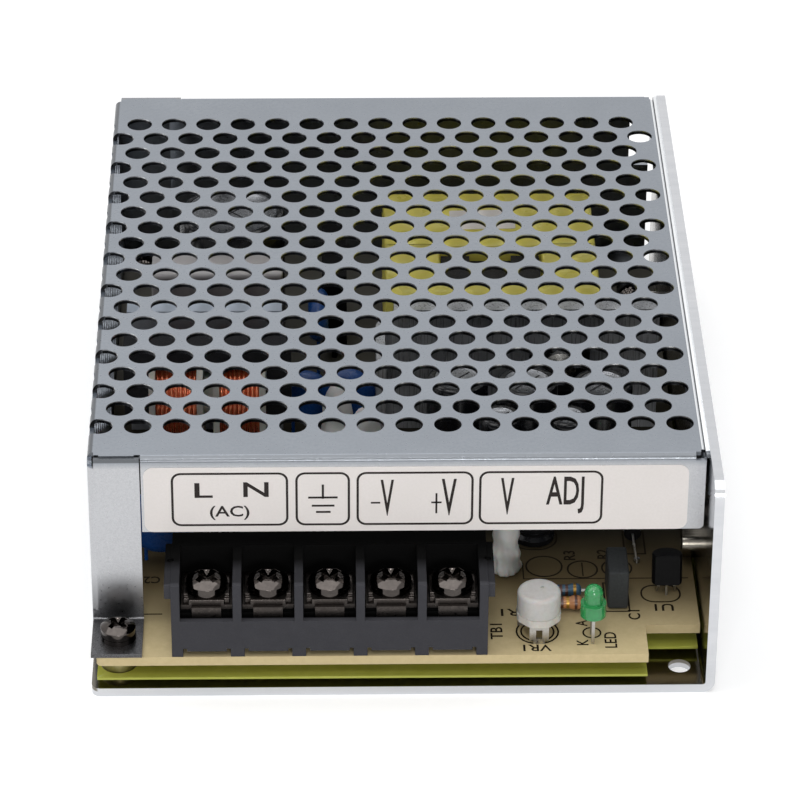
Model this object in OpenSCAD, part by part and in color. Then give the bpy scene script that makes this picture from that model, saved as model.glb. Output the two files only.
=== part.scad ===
// Enclosed switching power supply: a folded aluminium chassis, a folded and
// perforated steel cover, and the circuit board with its parts between them.
// Origin at the middle of the underside. X runs to the right as seen from the
// terminals, Y runs from the terminals to the closed end, Z is up.

/* [Case] */
// Overall length, terminal end to closed end
case_l = 129; // [127:1:150]
// Overall width over both side panels
case_w = 97; // [95:1:115]
// Overall height
case_h = 38; // [37:0.5:50]

/* [Chassis] */
// Thickness of the aluminium sheet
chassis_t = 1.5; // [1.2:0.1:1.8]
// Outside radius of the bend between base and wall
chassis_bend_r = 2; // [2:0.1:3]
// Radius of the wall's free upper corners
wall_corner_r = 2.5; // [1:0.5:5]
// Radius of the base's free corners
base_corner_r = 1.5; // [0.5:0.5:3]
// Diameter of the two mounting holes in the base
mount_hole_d = 3.5; // [3.2:0.1:4.5]
// Mounting hole centre from the wall's outer face
mount_inset_x = 5.2; // [4.6:0.1:6]
// Mounting hole centre from each end of the chassis
mount_inset_y = 5; // [4:0.5:6]
// Outside diameter of the threaded side bosses
boss_d = 5.2; // [4.4:0.1:6]
// How far a side boss stands into the case
boss_h = 2; // [1:0.1:2.4]
// Tapping diameter of a side boss
boss_tap_d = 2.5; // [2.4:0.05:2.8]
// Height of the side bosses above the underside
boss_z = 9.9; // [9.8:0.1:14]
// Side boss centre from each end of the chassis
boss_inset_y = 27.5; // [24:0.5:30]

/* [Cover] */
// Thickness of the zinc coated steel sheet
cover_t = 0.7; // [0.5:0.1:0.9]
// Outside radius of the cover's bends
cover_bend_r = 1; // [1:0.1:1.6]
// Top of the cover below the top of the wall
cover_drop = 0.5; // [0.2:0.1:1]
// Cover front behind the chassis front
cover_setback = 10; // [9:0.5:12]
// Cover back in front of the chassis back
cover_tail = 0.6; // [0.3:0.1:1]
// Gap between the cover's right flange and the wall
cover_wall_gap = 0.3; // [0.2:0.1:0.6]
// Gap between the cover's skirts and the base
skirt_gap = 0.2; // [0.1:0.1:0.5]
// Height of the right flange that the cover screws hold
flange_h = 8.5; // [7:0.5:12]
// Height of the front strip above the terminals
strip_h = 13.5; // [10:0.5:14]
// Width of the front left leg and its foot
leg_w = 8; // [7.5:0.5:9]
// Width of the back left leg
back_leg_w = 11.5; // [8:0.5:14]
// Slit between two coplanar folded tabs
slit = 0.2; // [0.2:0.05:0.5]
// Length of the relief cut at each corner of the top
corner_relief = 1.8; // [1.6:0.1:2.5]

/* [Perforation] */
// Diameter of a vent hole
vent_d = 4.3; // [3:0.1:4.6]
// Distance between neighbouring vent holes
vent_pitch = 6; // [5.5:0.1:8]
// First row behind the cover's front
vent_front = 9.25; // [8:0.25:12]
// Least distance of the last row from the cover's back
vent_back = 8; // [7:0.5:12]
// First column from the cover's right edge
vent_right = 3.65; // [3.6:0.05:6]
// Least height of the lowest side hole above the base
vent_side_low = 9; // [7:0.5:14]

/* [Board] */
// Thickness of the circuit board
board_t = 1.6; // [1.2:0.1:2]
// Height of the standoffs under the board
standoff_h = 4; // [3.5:0.1:6]
// Diameter of a standoff
standoff_d = 5.4; // [5:0.1:6.5]
// Thickness of the insulation film
film_t = 0.4; // [0.2:0.1:0.6]
// Size of the notches that clear the mounting holes, across the board
notch_w = 8.6; // [8:0.2:10]
// Size of the notches along the board
notch_l = 7.8; // [7:0.2:10]
// Thread diameter of the board and cover screws
screw_d = 3; // [2.5:0.5:3]
// Head diameter of the board screws
screw_head_d = 5.5; // [5:0.1:6]
// Head height of the board screws
screw_head_h = 2.2; // [1.6:0.1:2.6]

/* [Terminals] */
// Distance between neighbouring terminals
way_pitch = 9.5; // [9:0.1:9.8]
// Thickness of the barriers between them
barrier_t = 1.35; // [1:0.05:1.6]
// Depth of the terminal block
block_l = 15; // [14.5:0.5:17]
// Height of the barriers above the board
block_h = 13.2; // [12.8:0.2:14]
// Height of the front wall above the board
sill_h = 6.6; // [5.5:0.1:7]
// Height of the contact seat above the board
seat_h = 7.5; // [7.3:0.1:8]
// Left end of the block from the board's left edge
block_inset = 11.75; // [11:0.25:14]
// Thickness of a contact
contact_t = 0.8; // [0.5:0.1:1]
// Thickness of a clamp plate
clamp_t = 0.9; // [0.6:0.1:1.2]
// Side length of a clamp plate
clamp_w = 7.1; // [6.5:0.1:7.2]
// Thread diameter of a terminal screw
clamp_screw_d = 3.5; // [3:0.1:4]
// Head diameter of a terminal screw
clamp_head_d = 6.4; // [6:0.1:6.8]
// Head height of a terminal screw
clamp_head_h = 2.6; // [2:0.1:3]
// Lift of a clamp plate when its screw is backed out
clamp_lift = 3; // [2:0.25:3]

/* [Adjuster and lamp] */
// Diameter of the trimmer's cap
cap_d = 6.8; // [5.5:0.1:7.4]
// Height of the trimmer's cap
cap_h = 3.7; // [2.5:0.1:5]
// Height of the trimmer's base ring
ring_h = 1.2; // [1:0.1:2]
// Height of the trimmer's legs
leg_h = 3.3; // [2:0.1:4]
// Diameter of the lamp's dome
lamp_d = 2.9; // [2.5:0.1:3.2]
// Diameter of the lamp's skirt
lamp_skirt_d = 4; // [3.6:0.1:4.2]
// Height of the lamp's underside above the board
lamp_lift = 4.6; // [3:0.1:6]

/* [Power parts] */
// Thickness of the folded heatsinks
sink_t = 1.5; // [1:0.1:2]
// Height of the heatsinks above the board
sink_h = 24.8; // [20:0.1:25]
// Share of the board's width that the left heatsink takes
left_sink_share = 0.27; // [0.22:0.01:0.28]
// Share of the board's width that the right heatsink takes
right_sink_share = 0.5; // [0.42:0.01:0.51]
// Depth of the lip along the top of a heatsink
sink_lip = 4.5; // [3:0.5:5]
// Share of the board's width that the transformer takes
trafo_share = 0.38; // [0.32:0.01:0.39]
// Length of the transformer
trafo_l = 36; // [30:1:38]
// Height of the transformer
trafo_h = 24; // [20:0.5:24.5]
// Diameter of the reservoir capacitor
bulk_d = 18; // [16:1:18]
// Height of the reservoir capacitor
bulk_h = 25; // [20:0.5:25.5]
// Diameter of the output capacitors
output_d = 10; // [8:0.5:10]
// Height of the output capacitors
output_h = 20; // [12:0.5:22]
// Length of the line choke
choke_w = 19; // [17:0.5:19]
// Height of the line choke
choke_h = 19; // [17:0.5:20]

/* [Hidden] */
$fn = 48;
eps = 0.01;
ways = 5;
running_gap = 0.05;
seat_gap = 0.15;

front = -case_l / 2;
back = case_l / 2;
right = case_w / 2;
left = -case_w / 2;

// Cover: outer faces, inner bend radius and length of a bend along its middle
cx0 = left;
cx1 = right - chassis_t - cover_wall_gap;
cy0 = front + cover_setback;
cy1 = back - cover_tail;
cz1 = case_h - cover_drop;
cover_in_r = cover_bend_r - cover_t;
bend_arc = (cover_bend_r - cover_t / 2) * PI / 2;
skirt_z = chassis_t + skirt_gap;
leg_x1 = cx0 + leg_w;
strip_x0 = leg_x1 + slit;
back_leg_x1 = cx0 + back_leg_w;
panel_x0 = back_leg_x1 + slit;
strip_z0 = cz1 - strip_h;

// Vent rows run across the case, every second one shifted by half a pitch
row_pitch = vent_pitch * sqrt(3) / 2;
vent_rows = 1 + floor((cy1 - cy0 - vent_front - vent_back) / row_pitch);
vent_cols = ceil((cx1 - cx0 + cz1) / vent_pitch);
vent_r = vent_d / 2;
fold_x = cx0 + cover_bend_r;

// Board
board_gap = 0.2;
board_end_gap = 0.4;
board_z = chassis_t + standoff_h;
bt = board_z + board_t;
board_x0 = left + cover_t + board_gap;
board_x1 = right - chassis_t - board_end_gap;
board_y0 = front + board_end_gap;
board_y1 = cy1 - cover_t - board_end_gap;
board_corner_r = 1;
foot_top = bt + cover_t;
foot_y0 = front + 0.3;
screw_x = board_x0 + 3.3;
screw_y = fy(5);
screw_inner_y = fy(40);
screw_inner_x = board_x1 - 4;
screw_back_y = board_y1 - 4.6;
washer_d = screw_head_d + 0.1;
washer_t = 0.8;

// Cover screws in the wall, through the flange
side_screw_z = cz1 - flange_h / 2 - 0.6;
side_screw_y = 24;
side_head_d = 5.6;

// Terminal block
block_x0 = board_x0 + block_inset;
block_w = ways * way_pitch + barrier_t;
block_x1 = block_x0 + block_w;
block_y0 = front + 0.4;
sill_t = 1.1;
cell_w = way_pitch - barrier_t;
cell_l = 11.2;
seat_z = bt + seat_h;
clamp_y = block_y0 + 5.6;
clamp_z = seat_z + contact_t;
clamp_head_z = clamp_z + clamp_t;
shank_l = 6.5;
ear_w = 1;
ear_l = 11.6;
ear_h = 2.5;
tab_w = 4.5;
tab_drop = 2.2;
foot_recess = 1;

// Parts near the front, spread over the board that the block leaves free
free_w = board_x1 - block_x1;
trim_x = block_x1 + 0.241 * free_w;
trim_y = fy(6.2);
trim_z = bt + leg_h;
lamp_x = block_x1 + 0.49 * free_w;
lamp_y = fy(4.6);
lead_pitch = 2.54;
lead_r = 0.3;
lamp_skirt_h = 2.3;
lamp_dome_h = 3.2;
box_cap_x = block_x1 + 0.574 * free_w;
box_cap_size = [3.25, 7.4, 6.9];
regulator_x = board_x1 - 0.14 * free_w;
regulator_lift = 2.1;
resistor_x = block_x1 + 0.36 * free_w;
resistor_l = 6.4;
resistor_span = 9;
small_cap_d = 6.7;
small_cap_h = 11;
fuse_l = 20;
fuse_d = 5;

// Parts under the perforated top, spread over the board's width
board_w = board_x1 - board_x0;
sink_y = fy(66.4);
left_sink_x0 = board_x0 + 3.2;
left_sink_w = left_sink_share * board_w;
right_sink_x1 = board_x1 - 3;
right_sink_w = right_sink_share * board_w;
right_sink_x0 = right_sink_x1 - right_sink_w;
package_h = 16;
package_hole_z = 13.2;
package_thick_h = 9.8;
shank_end = 0.4;
switch_x = left_sink_x0 + left_sink_w / 2;
rectifier_x = right_sink_x0 + 0.65 * right_sink_w;
trafo_w = trafo_share * board_w;
trafo_x = right_sink_x1 - 0.583 * right_sink_w;
trafo_y = sink_y + sink_t + 0.5 + trafo_l / 2;
core_w = 17;
core_l = 12.5;
line_cap_x0 = board_x0 + 0.07 * board_w;
line_cap_w = 0.234 * board_w;
line_cap_l = 6.8;
line_cap_h = 21.6;
line_cap_y0 = sink_y + sink_t + 12.7;
bulk_x = board_x0 + 0.212 * board_w;
bulk_y = line_cap_y0 + line_cap_l + 0.4 + bulk_d / 2;
choke_x0 = board_x0 + 0.074 * board_w;
choke_y = fy(58);
choke_l = 15;
choke_end = 4.2;
choke_axis = choke_h - choke_l / 2;
bridge_size = [4.2, 19, 14];
bridge_x = (bulk_x + bulk_d / 2 + trafo_x - trafo_w / 2) / 2;

// Distance behind the front edge of the chassis, as a Y coordinate
function fy(d) = front + d;

// Middle of a terminal, counted from the left
function way_x(i) = block_x0 + barrier_t / 2 + way_pitch * (i - 0.5);

// ---------------------------------------------------------------- helpers

// Flat rectangle with round corners, its lower left corner at the origin
module round_rect(w, l, r) {
    translate([r, 0])
        square([w - 2 * r, l]);
    translate([0, r])
        square([w, l - 2 * r]);
    for (x = [r, w - r], y = [r, l - r])
        translate([x, y])
            circle(r);
}

// Outline that rounds a corner at the origin when it is cut away
module corner_cut(r) {
    difference() {
        translate([-1, -1])
            square(r + 1);
        translate([r, r])
            circle(r);
    }
}

// Quarter of a bend in the plane, curving from -Y round to -X
module bend_section(r_out, t) {
    intersection() {
        difference() {
            circle(r_out);
            circle(r_out - t);
        }
        translate([-r_out, -r_out])
            square(r_out);
    }
}

// Box given by its two corners
module span(a, b) {
    translate(a)
        cube(b - a);
}

// Vertical wire from one height to another
module wire(x, y, z0, z1, r = lead_r) {
    translate([x, y, z0])
        cylinder(r = r, h = z1 - z0);
}

// Domed screw head on the plane z = 0, with a cross recess
module pan_head(d, h, slot_w) {
    rim = 0.55 * h;
    dome = h - rim;
    dome_r = (pow(d / 2, 2) + pow(dome, 2)) / (2 * dome);
    difference() {
        intersection() {
            cylinder(d = d, h = h);
            translate([0, 0, h - dome_r])
                sphere(dome_r);
        }
        for (a = [45, 135])
            rotate(a)
                translate([-0.31 * d, -slot_w / 2, 0.45 * h])
                    cube([0.62 * d, slot_w, h]);
        translate([0, 0, 0.4 * h])
            cylinder(d1 = 0.12 * d, d2 = 0.46 * d, h = 0.6 * h + eps);
    }
}

// ---------------------------------------------------------------- chassis

module chassis_section() {
    difference() {
        union() {
            translate([left, 0])
                square([case_w - chassis_bend_r, chassis_t]);
            translate([right - chassis_t, chassis_bend_r])
                square([chassis_t, case_h - chassis_bend_r]);
            translate([right - chassis_bend_r, chassis_bend_r])
                mirror([1, 0])
                    bend_section(chassis_bend_r, chassis_t);
        }
    }
}

module chassis() {
    color("gainsboro")
    difference() {
        union() {
            rotate([90, 0, 0])
                linear_extrude(case_l, center = true)
                    chassis_section();
            for (s = [-1, 1])
                translate([right - chassis_t, s * (case_l / 2 - boss_inset_y), boss_z])
                    rotate([0, -90, 0])
                        cylinder(d = boss_d, h = boss_h);
        }
        for (s = [0, 1])
            mirror([0, s, 0]) {
                // Free corners of the base and of the wall
                translate([left, front, -1])
                    linear_extrude(chassis_t + 2)
                        corner_cut(base_corner_r);
                translate([right + 1, front, case_h])
                    rotate([0, -90, 0])
                        linear_extrude(chassis_t + 2)
                            mirror([1, 0])
                                corner_cut(wall_corner_r);
                translate([right - mount_inset_x, front + mount_inset_y, -1])
                    cylinder(d = mount_hole_d, h = chassis_t + 2);
                translate([right + 1, case_l / 2 - boss_inset_y, boss_z])
                    rotate([0, -90, 0])
                        cylinder(d = boss_tap_d, h = chassis_t + boss_h + 2);
                // Countersink for a cover screw
                translate([right, side_screw_y, side_screw_z])
                    rotate([0, -90, 0]) {
                        cylinder(d1 = side_head_d, d2 = screw_d + 0.3, h = chassis_t);
                        translate([0, 0, -1])
                            cylinder(d = screw_d + 0.3, h = chassis_t + 2);
                    }
            }
    }
}

// ---------------------------------------------------------------- cover

// Position of vent hole k of row j, measured across the flat blank
function vent_x(j, k) = cx1 - vent_right - vent_pitch * (k + (j % 2) / 2);
function vent_y(j) = cy0 + vent_front + row_pitch * j;

// Height on the side panel of a hole that lies past the fold
function vent_z(x) = cz1 - cover_bend_r - (fold_x - x - bend_arc);

module cover_top() {
    translate([0, 0, cz1 - cover_t])
        linear_extrude(cover_t)
            difference() {
                union() {
                    translate([fold_x, cy0 + cover_bend_r])
                        square([cx1 - cx0 - 2 * cover_bend_r, cy1 - cy0 - 2 * cover_bend_r]);
                    translate([fold_x + 0.8, cy0 + cover_t])
                        square([leg_w - cover_bend_r - 1.6, cover_bend_r]);
                    translate([fold_x + 0.8, cy1 - cover_t - cover_bend_r])
                        square([back_leg_w - cover_bend_r - 1.6, cover_bend_r]);
                }
                for (j = [0 : vent_rows - 1], k = [0 : vent_cols])
                    if (vent_x(j, k) - vent_r >= fold_x)
                        translate([vent_x(j, k), vent_y(j)])
                            circle(vent_r);
            }
}

module cover_side() {
    side_y0 = cy0 + cover_bend_r;
    side_z1 = cz1 - cover_bend_r;
    translate([cx0, 0, 0])
        rotate([90, 0, 90])
            linear_extrude(cover_t)
                difference() {
                    translate([side_y0, skirt_z])
                        square([cy1 - cover_bend_r - side_y0, side_z1 - skirt_z]);
                    // Relief at the lower front corner
                    translate([side_y0 - 1, skirt_z - 1])
                        square([5, 3.9]);
                    for (j = [0 : vent_rows - 1], k = [0 : vent_cols])
                        if (vent_z(vent_x(j, k)) + vent_r <= side_z1
                                && vent_z(vent_x(j, k)) >= chassis_t + vent_side_low)
                            translate([vent_y(j), vent_z(vent_x(j, k))])
                                circle(vent_r);
                }
}

// Vent holes that run over the fold between top and side
module fold_vents() {
    for (j = [0 : vent_rows - 1], k = [0 : vent_cols]) {
        x = vent_x(j, k);
        past = max(0, vent_r - (x - fold_x) - bend_arc);
        if (x - vent_r < fold_x && x >= fold_x - bend_arc / 2)
            translate([x, vent_y(j), cz1 - cover_bend_r - past])
                cylinder(r = vent_r, h = cover_bend_r + past + 1);
        if (x < fold_x - bend_arc / 2 && vent_z(x) + vent_r > cz1 - cover_bend_r)
            translate([cx0 - 1, vent_y(j), vent_z(x)])
                rotate([0, 90, 0])
                    cylinder(r = vent_r, h = cover_bend_r + 1);
    }
}

// Fold along Y at the left or right edge of the top
module long_fold() {
    translate([0, cy1 - corner_relief, 0])
        rotate([90, 0, 0])
            linear_extrude(cy1 - cy0 - 2 * corner_relief)
                children();
}

// Front strip, its fold, and the left leg with its foot
module cover_front() {
    // Fold and strip over the terminals
    translate([strip_x0, cy0 + cover_bend_r, cz1 - cover_bend_r])
        rotate([90, 0, 90])
            linear_extrude(cx1 - corner_relief - strip_x0)
                mirror([0, 1])
                    bend_section(cover_bend_r, cover_t);
    translate([strip_x0, cy0 + cover_t, strip_z0])
        rotate([90, 0, 0])
            linear_extrude(cover_t)
                difference() {
                    square([cx1 - 0.2 - strip_x0, cz1 - cover_bend_r - strip_z0]);
                    translate([cx1 - 0.2 - strip_x0, 0])
                        mirror([1, 0])
                            corner_cut(0.8);
                }
    // Leg down to the board
    leg_z0 = foot_top + cover_in_r;
    leg_top = cz1 - 0.25;
    span([fold_x, cy0, leg_z0], [leg_x1, cy0 + cover_t, leg_top]);
    span([cx0 + 0.1, cy0, leg_z0], [fold_x, cy0 + cover_t, leg_z0 + 1.2]);
    translate([fold_x, cy0 + cover_bend_r, leg_z0 + 1.2])
        linear_extrude(cz1 - corner_relief - leg_z0 - 1.2)
            bend_section(cover_bend_r, cover_t);
    // Foot, folded forward onto the board
    translate([cx0 + 0.1, cy0 - cover_in_r, leg_z0])
        rotate([90, 0, 90])
            linear_extrude(leg_w - 0.1)
                mirror([1, 0])
                    bend_section(cover_bend_r, cover_t);
    span([cx0 + 0.1, foot_y0, bt], [leg_x1, cy0 - cover_in_r, foot_top]);
}

// Closed back panel, its fold, and the back left leg
module cover_back() {
    translate([panel_x0, cy1 - cover_bend_r, cz1 - cover_bend_r])
        rotate([90, 0, 90])
            linear_extrude(cx1 - corner_relief - panel_x0)
                rotate(180)
                    bend_section(cover_bend_r, cover_t);
    translate([panel_x0, cy1, skirt_z])
        rotate([90, 0, 0])
            linear_extrude(cover_t)
                difference() {
                    square([cx1 - 0.7 - panel_x0, cz1 - cover_bend_r - skirt_z]);
                    translate([cx1 - 4.2 - panel_x0, 22])
                        square([5, 9]);
                }
    span([fold_x, cy1 - cover_t, skirt_z], [back_leg_x1, cy1, cz1 - 0.2]);
    translate([fold_x, cy1 - cover_bend_r, skirt_z + 1.2])
        linear_extrude(cz1 - corner_relief - skirt_z - 1.2)
            mirror([0, 1])
                bend_section(cover_bend_r, cover_t);
}

module cover() {
    color("lightslategray")
    difference() {
        union() {
            cover_top();
            cover_side();
            long_fold()
                translate([fold_x, cz1 - cover_bend_r])
                    mirror([0, 1])
                        bend_section(cover_bend_r, cover_t);
            long_fold()
                translate([cx1 - cover_bend_r, cz1 - cover_bend_r])
                    rotate(180)
                        bend_section(cover_bend_r, cover_t);
            span([cx1 - cover_t, cy0 + corner_relief, cz1 - flange_h],
                [cx1, cy1 - corner_relief, cz1 - cover_bend_r]);
            cover_front();
            cover_back();
        }
        fold_vents();
        translate([screw_x, screw_y, bt - 1])
            cylinder(d = screw_d + 0.4, h = cover_t + 2);
        for (s = [-1, 1])
            translate([cx1 + 1, s * side_screw_y, side_screw_z])
                rotate([0, -90, 0])
                    cylinder(d = screw_d + 2 * running_gap, h = cover_t + 2);
    }
}

// ---------------------------------------------------------------- board and film

// Outline shared by the board and the film under it
module board_outline(x0, x1, y0, y1) {
    difference() {
        translate([x0, y0])
            round_rect(x1 - x0, y1 - y0, board_corner_r);
        for (y = [[y0 - 1, board_y0 + notch_l], [board_y1 - notch_l, y1 + 1]])
            translate([board_x1 - notch_w, y[0]])
                square([notch_w + 2, y[1] - y[0]]);
    }
}

module board_fixings() {
    translate([screw_x, screw_y])
        children();
    translate([screw_x, screw_back_y])
        children();
    translate([screw_inner_x, screw_inner_y])
        children();
    translate([screw_inner_x, screw_back_y - 12])
        children();
}

module circuit_board() {
    color("tan")
    translate([0, 0, board_z])
        linear_extrude(board_t)
            difference() {
                board_outline(board_x0, board_x1, board_y0, board_y1);
                board_fixings()
                    circle(d = screw_d + 0.4);
            }
}

module insulation_film() {
    color([0.75, 0.78, 0.32])
    translate([0, 0, chassis_t])
        linear_extrude(film_t)
            difference() {
                board_outline(board_x0, board_x1 - 0.2, front + 0.2, board_y1);
                board_fixings()
                    circle(d = standoff_d + 0.4);
            }
}

module board_standoffs() {
    color("silver")
    board_fixings()
        translate([0, 0, chassis_t])
            difference() {
                cylinder(d = standoff_d, h = standoff_h);
                translate([0, 0, 0.5])
                    cylinder(d = screw_d + 2 * running_gap, h = standoff_h);
            }
}

// Screw that holds the board, its head seated at the given height
module board_screw(head_z) {
    translate([0, 0, head_z])
        pan_head(screw_head_d, screw_head_h, 0.9);
    translate([0, 0, chassis_t + 1])
        cylinder(d = screw_d, h = head_z - chassis_t - 1 + eps);
}

module foot_screw() {
    color("dimgray")
    translate([screw_x, screw_y])
        board_screw(foot_top + washer_t);
}

module foot_washer() {
    color("dimgray")
    translate([screw_x, screw_y, foot_top])
        difference() {
            cylinder(d = washer_d, h = washer_t);
            translate([0, 0, -1])
                cylinder(d = screw_d + 0.2, h = washer_t + 2);
            rotate(215)
                translate([0, -0.2, -1])
                    cube([washer_d, 0.4, washer_t + 2]);
        }
}

module board_screws() {
    color("dimgray") {
        translate([screw_x, screw_back_y])
            board_screw(bt);
        translate([screw_inner_x, screw_inner_y])
            board_screw(bt);
        translate([screw_inner_x, screw_back_y - 12])
            board_screw(bt);
    }
}

module cover_screws() {
    color("dimgray")
    for (s = [-1, 1])
        translate([right, s * side_screw_y, side_screw_z])
            rotate([0, -90, 0])
                difference() {
                    union() {
                        cylinder(d1 = side_head_d - 0.1, d2 = screw_d + 0.2, h = chassis_t);
                        cylinder(d = screw_d, h = chassis_t + cover_wall_gap + cover_t + 0.8);
                    }
                    for (a = [0, 90])
                        rotate(a)
                            translate([-1.4, -0.4, -1])
                                cube([2.8, 0.8, 1.9]);
                }
}

// ---------------------------------------------------------------- terminals

// Solid under and behind the terminals, cut out once for each way
module terminal_block() {
    color([0.2, 0.2, 0.23])
    difference() {
        union() {
            span([block_x0, block_y0, bt], [block_x1, block_y0 + block_l, bt + block_h]);
            for (x = [block_x0 - ear_w, block_x1])
                span([x, block_y0 + 0.5, bt + block_h - 0.15 - ear_h],
                    [x + ear_w, block_y0 + 0.5 + ear_l, bt + block_h - 0.15]);
        }
        for (i = [1 : ways])
            translate([way_x(i), 0, 0]) {
                // Space for the wire, above the sill
                span([-cell_w / 2, block_y0 - 1, bt + sill_h],
                    [cell_w / 2, block_y0 + sill_t + 1.8, bt + block_h + 1]);
                // Space above the contact
                span([-cell_w / 2, block_y0 + sill_t, seat_z],
                    [cell_w / 2, block_y0 + cell_l, bt + block_h + 1]);
                // Well for the contact's folded tab
                span([-cell_w / 2, block_y0 + sill_t, seat_z - tab_drop - 1.2],
                    [cell_w / 2, block_y0 + sill_t + 1.4, seat_z + 1]);
                // Bore that takes the end of the screw
                translate([0, clamp_y, seat_z - shank_l])
                    cylinder(d = clamp_screw_d + 0.3, h = shank_l + 1);
                // Recess between the feet
                span([-cell_w / 2 + 0.4, block_y0 - 1, bt - 1],
                    [cell_w / 2 - 0.4, block_y0 + block_l + 1, bt + foot_recess]);
                for (s = [-1, 1])
                    span([s * (cell_w / 2 - 0.7) - 0.3, block_y0 - 1, bt - 1],
                        [s * (cell_w / 2 - 0.7) + 0.3, block_y0 + 1, bt + foot_recess + 0.5]);
            }
        // Small dimples on the end barriers
        for (x = [block_x0 - 0.1, block_x1 + 0.1])
            translate([x, block_y0 + 7.4, bt + block_h - 0.5])
                cylinder(d = 1.1, h = 1);
    }
}

// Brass contact strip with a tab folded down behind the sill
module terminal_contact(i) {
    y0 = block_y0 + sill_t + 0.25;
    color("silver")
    translate([way_x(i), 0, 0])
        difference() {
            union() {
                span([-cell_w / 2 + seat_gap, y0 + 0.8, seat_z],
                    [cell_w / 2 - seat_gap, block_y0 + cell_l - seat_gap, seat_z + contact_t]);
                span([-tab_w / 2, y0, seat_z - tab_drop],
                    [tab_w / 2, y0 + contact_t, seat_z + contact_t]);
            }
            translate([0, clamp_y, seat_z - 1])
                cylinder(d = clamp_screw_d + 2 * running_gap, h = contact_t + 2);
        }
}

// Square plate under the screw head, two edges turned up
module clamp_plate(i) {
    h = clamp_w / 2;
    color("silver")
    translate([way_x(i), clamp_y, clamp_z])
        difference() {
            union() {
                span([-h, -h + 0.5, 0], [h, h - 0.5, clamp_t]);
                span([-h + 0.8, -h, 0], [h - 0.8, h, clamp_t]);
                for (sx = [-1, 1])
                    translate([sx * (h - 0.35), 0, clamp_t])
                        cube([0.7, clamp_w - 2, 1], center = true);
            }
            translate([0, 0, -1])
                cylinder(d = clamp_screw_d + 2 * running_gap, h = clamp_t + 2);
            translate([0, 0, clamp_t])
                cylinder(d = clamp_head_d + 0.3, h = 2);
            // Grooves that bite the wire
            for (y = [-2.4, 2.4])
                translate([-h - 1, y - 0.2, -eps])
                    cube([clamp_w + 2, 0.4, 0.2]);
        }
}

module terminal_screw(i) {
    color("dimgray")
    translate([way_x(i), clamp_y, clamp_head_z]) {
        pan_head(clamp_head_d, clamp_head_h, 1.1);
        translate([0, 0, -clamp_t - contact_t - shank_l + 0.4])
            cylinder(d = clamp_screw_d, h = clamp_t + contact_t + shank_l - 0.4 + eps);
    }
}

// ---------------------------------------------------------------- trimmer and lamp

module trimmer_base() {
    ring_r = cap_d / 2 + 0.15;
    color("ivory")
    translate([trim_x, trim_y, trim_z])
        difference() {
            union() {
                intersection() {
                    cylinder(r = ring_r, h = ring_h);
                    rotate(22.5)
                        cylinder(r = ring_r * 1.04, h = ring_h, $fn = 8);
                }
                cylinder(d = 2.4, h = ring_h + 0.8);
            }
            translate([0, 0, -1])
                cylinder(d = 1, h = ring_h + 3);
        }
}

// Two forked legs at the front and one at the back
module trimmer_legs() {
    color("silver")
    translate([trim_x, trim_y, 0]) {
        translate([0, -cap_d / 2 + 0.6, 0])
            difference() {
                span([-1.5, -0.2, bt], [1.5, 0.2, trim_z]);
                span([-0.5, -1, bt + 1], [0.5, 1, trim_z - 0.7]);
                span([-2, -1, bt - 1], [-0.9, 1, bt + 0.7]);
                span([0.9, -1, bt - 1], [2, 1, bt + 0.7]);
            }
        for (s = [-1, 1])
            translate([s * lead_pitch, cap_d / 2 - 1.1, 0])
                span([-0.6, -0.2, bt], [0.6, 0.2, trim_z]);
    }
}

// Cap that turns on the base's hub and sets the output voltage
module trimmer_cap() {
    r = cap_d / 2;
    edge = 0.7;
    color("lightgray")
    translate([trim_x, trim_y, trim_z + ring_h + running_gap])
        difference() {
            rotate_extrude()
                union() {
                    square([r, cap_h - edge]);
                    square([r - edge, cap_h]);
                    translate([r - edge, cap_h - edge])
                        circle(edge);
                }
            translate([0, 0, -1])
                cylinder(d = 2.4 + 2 * running_gap, h = 2);
            translate([0.5, 0.6, cap_h - 0.25])
                cylinder(d = 0.6, h = 1);
        }
}

module lamp_lens() {
    color("mediumseagreen")
    translate([lamp_x, lamp_y, bt + lamp_lift]) {
        cylinder(d = lamp_skirt_d, h = lamp_skirt_h);
        cylinder(d = lamp_d, h = lamp_skirt_h + lamp_dome_h - lamp_d / 2);
        translate([0, 0, lamp_skirt_h + lamp_dome_h - lamp_d / 2])
            sphere(d = lamp_d);
    }
}

module lamp_leads() {
    color("silver")
    for (s = [-1, 1])
        translate([lamp_x - 0.25, lamp_y + s * lead_pitch / 2 - 0.25, bt])
            cube([0.5, 0.5, lamp_lift]);
}

// ---------------------------------------------------------------- small parts

module film_capacitor() {
    color([0.2, 0.21, 0.22])
    translate([box_cap_x, fy(12.25), bt]) {
        translate([0, box_cap_size[1], 0.3])
            rotate([90, 0, 0])
                linear_extrude(box_cap_size[1])
                    round_rect(box_cap_size[0], box_cap_size[2], 0.3);
        for (s = [-1, 1])
            translate([box_cap_size[0] / 2, box_cap_size[1] / 2 + s * lead_pitch, 0])
                cylinder(r = lead_r, h = 0.5);
    }
}

module regulator_body() {
    color([0.12, 0.12, 0.12])
    translate([regulator_x, fy(17.2), bt + regulator_lift])
        difference() {
            cylinder(d = 4.8, h = 5);
            span([-4, -4, -1], [4, -1.4, 6]);
        }
}

module regulator_leads() {
    color("silver")
    translate([regulator_x, fy(17.2), bt])
        for (s = [-1, 0, 1])
            translate([s * lead_pitch / 2 - 0.2, -0.4, 0])
                cube([0.4, 0.4, regulator_lift]);
}

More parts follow.
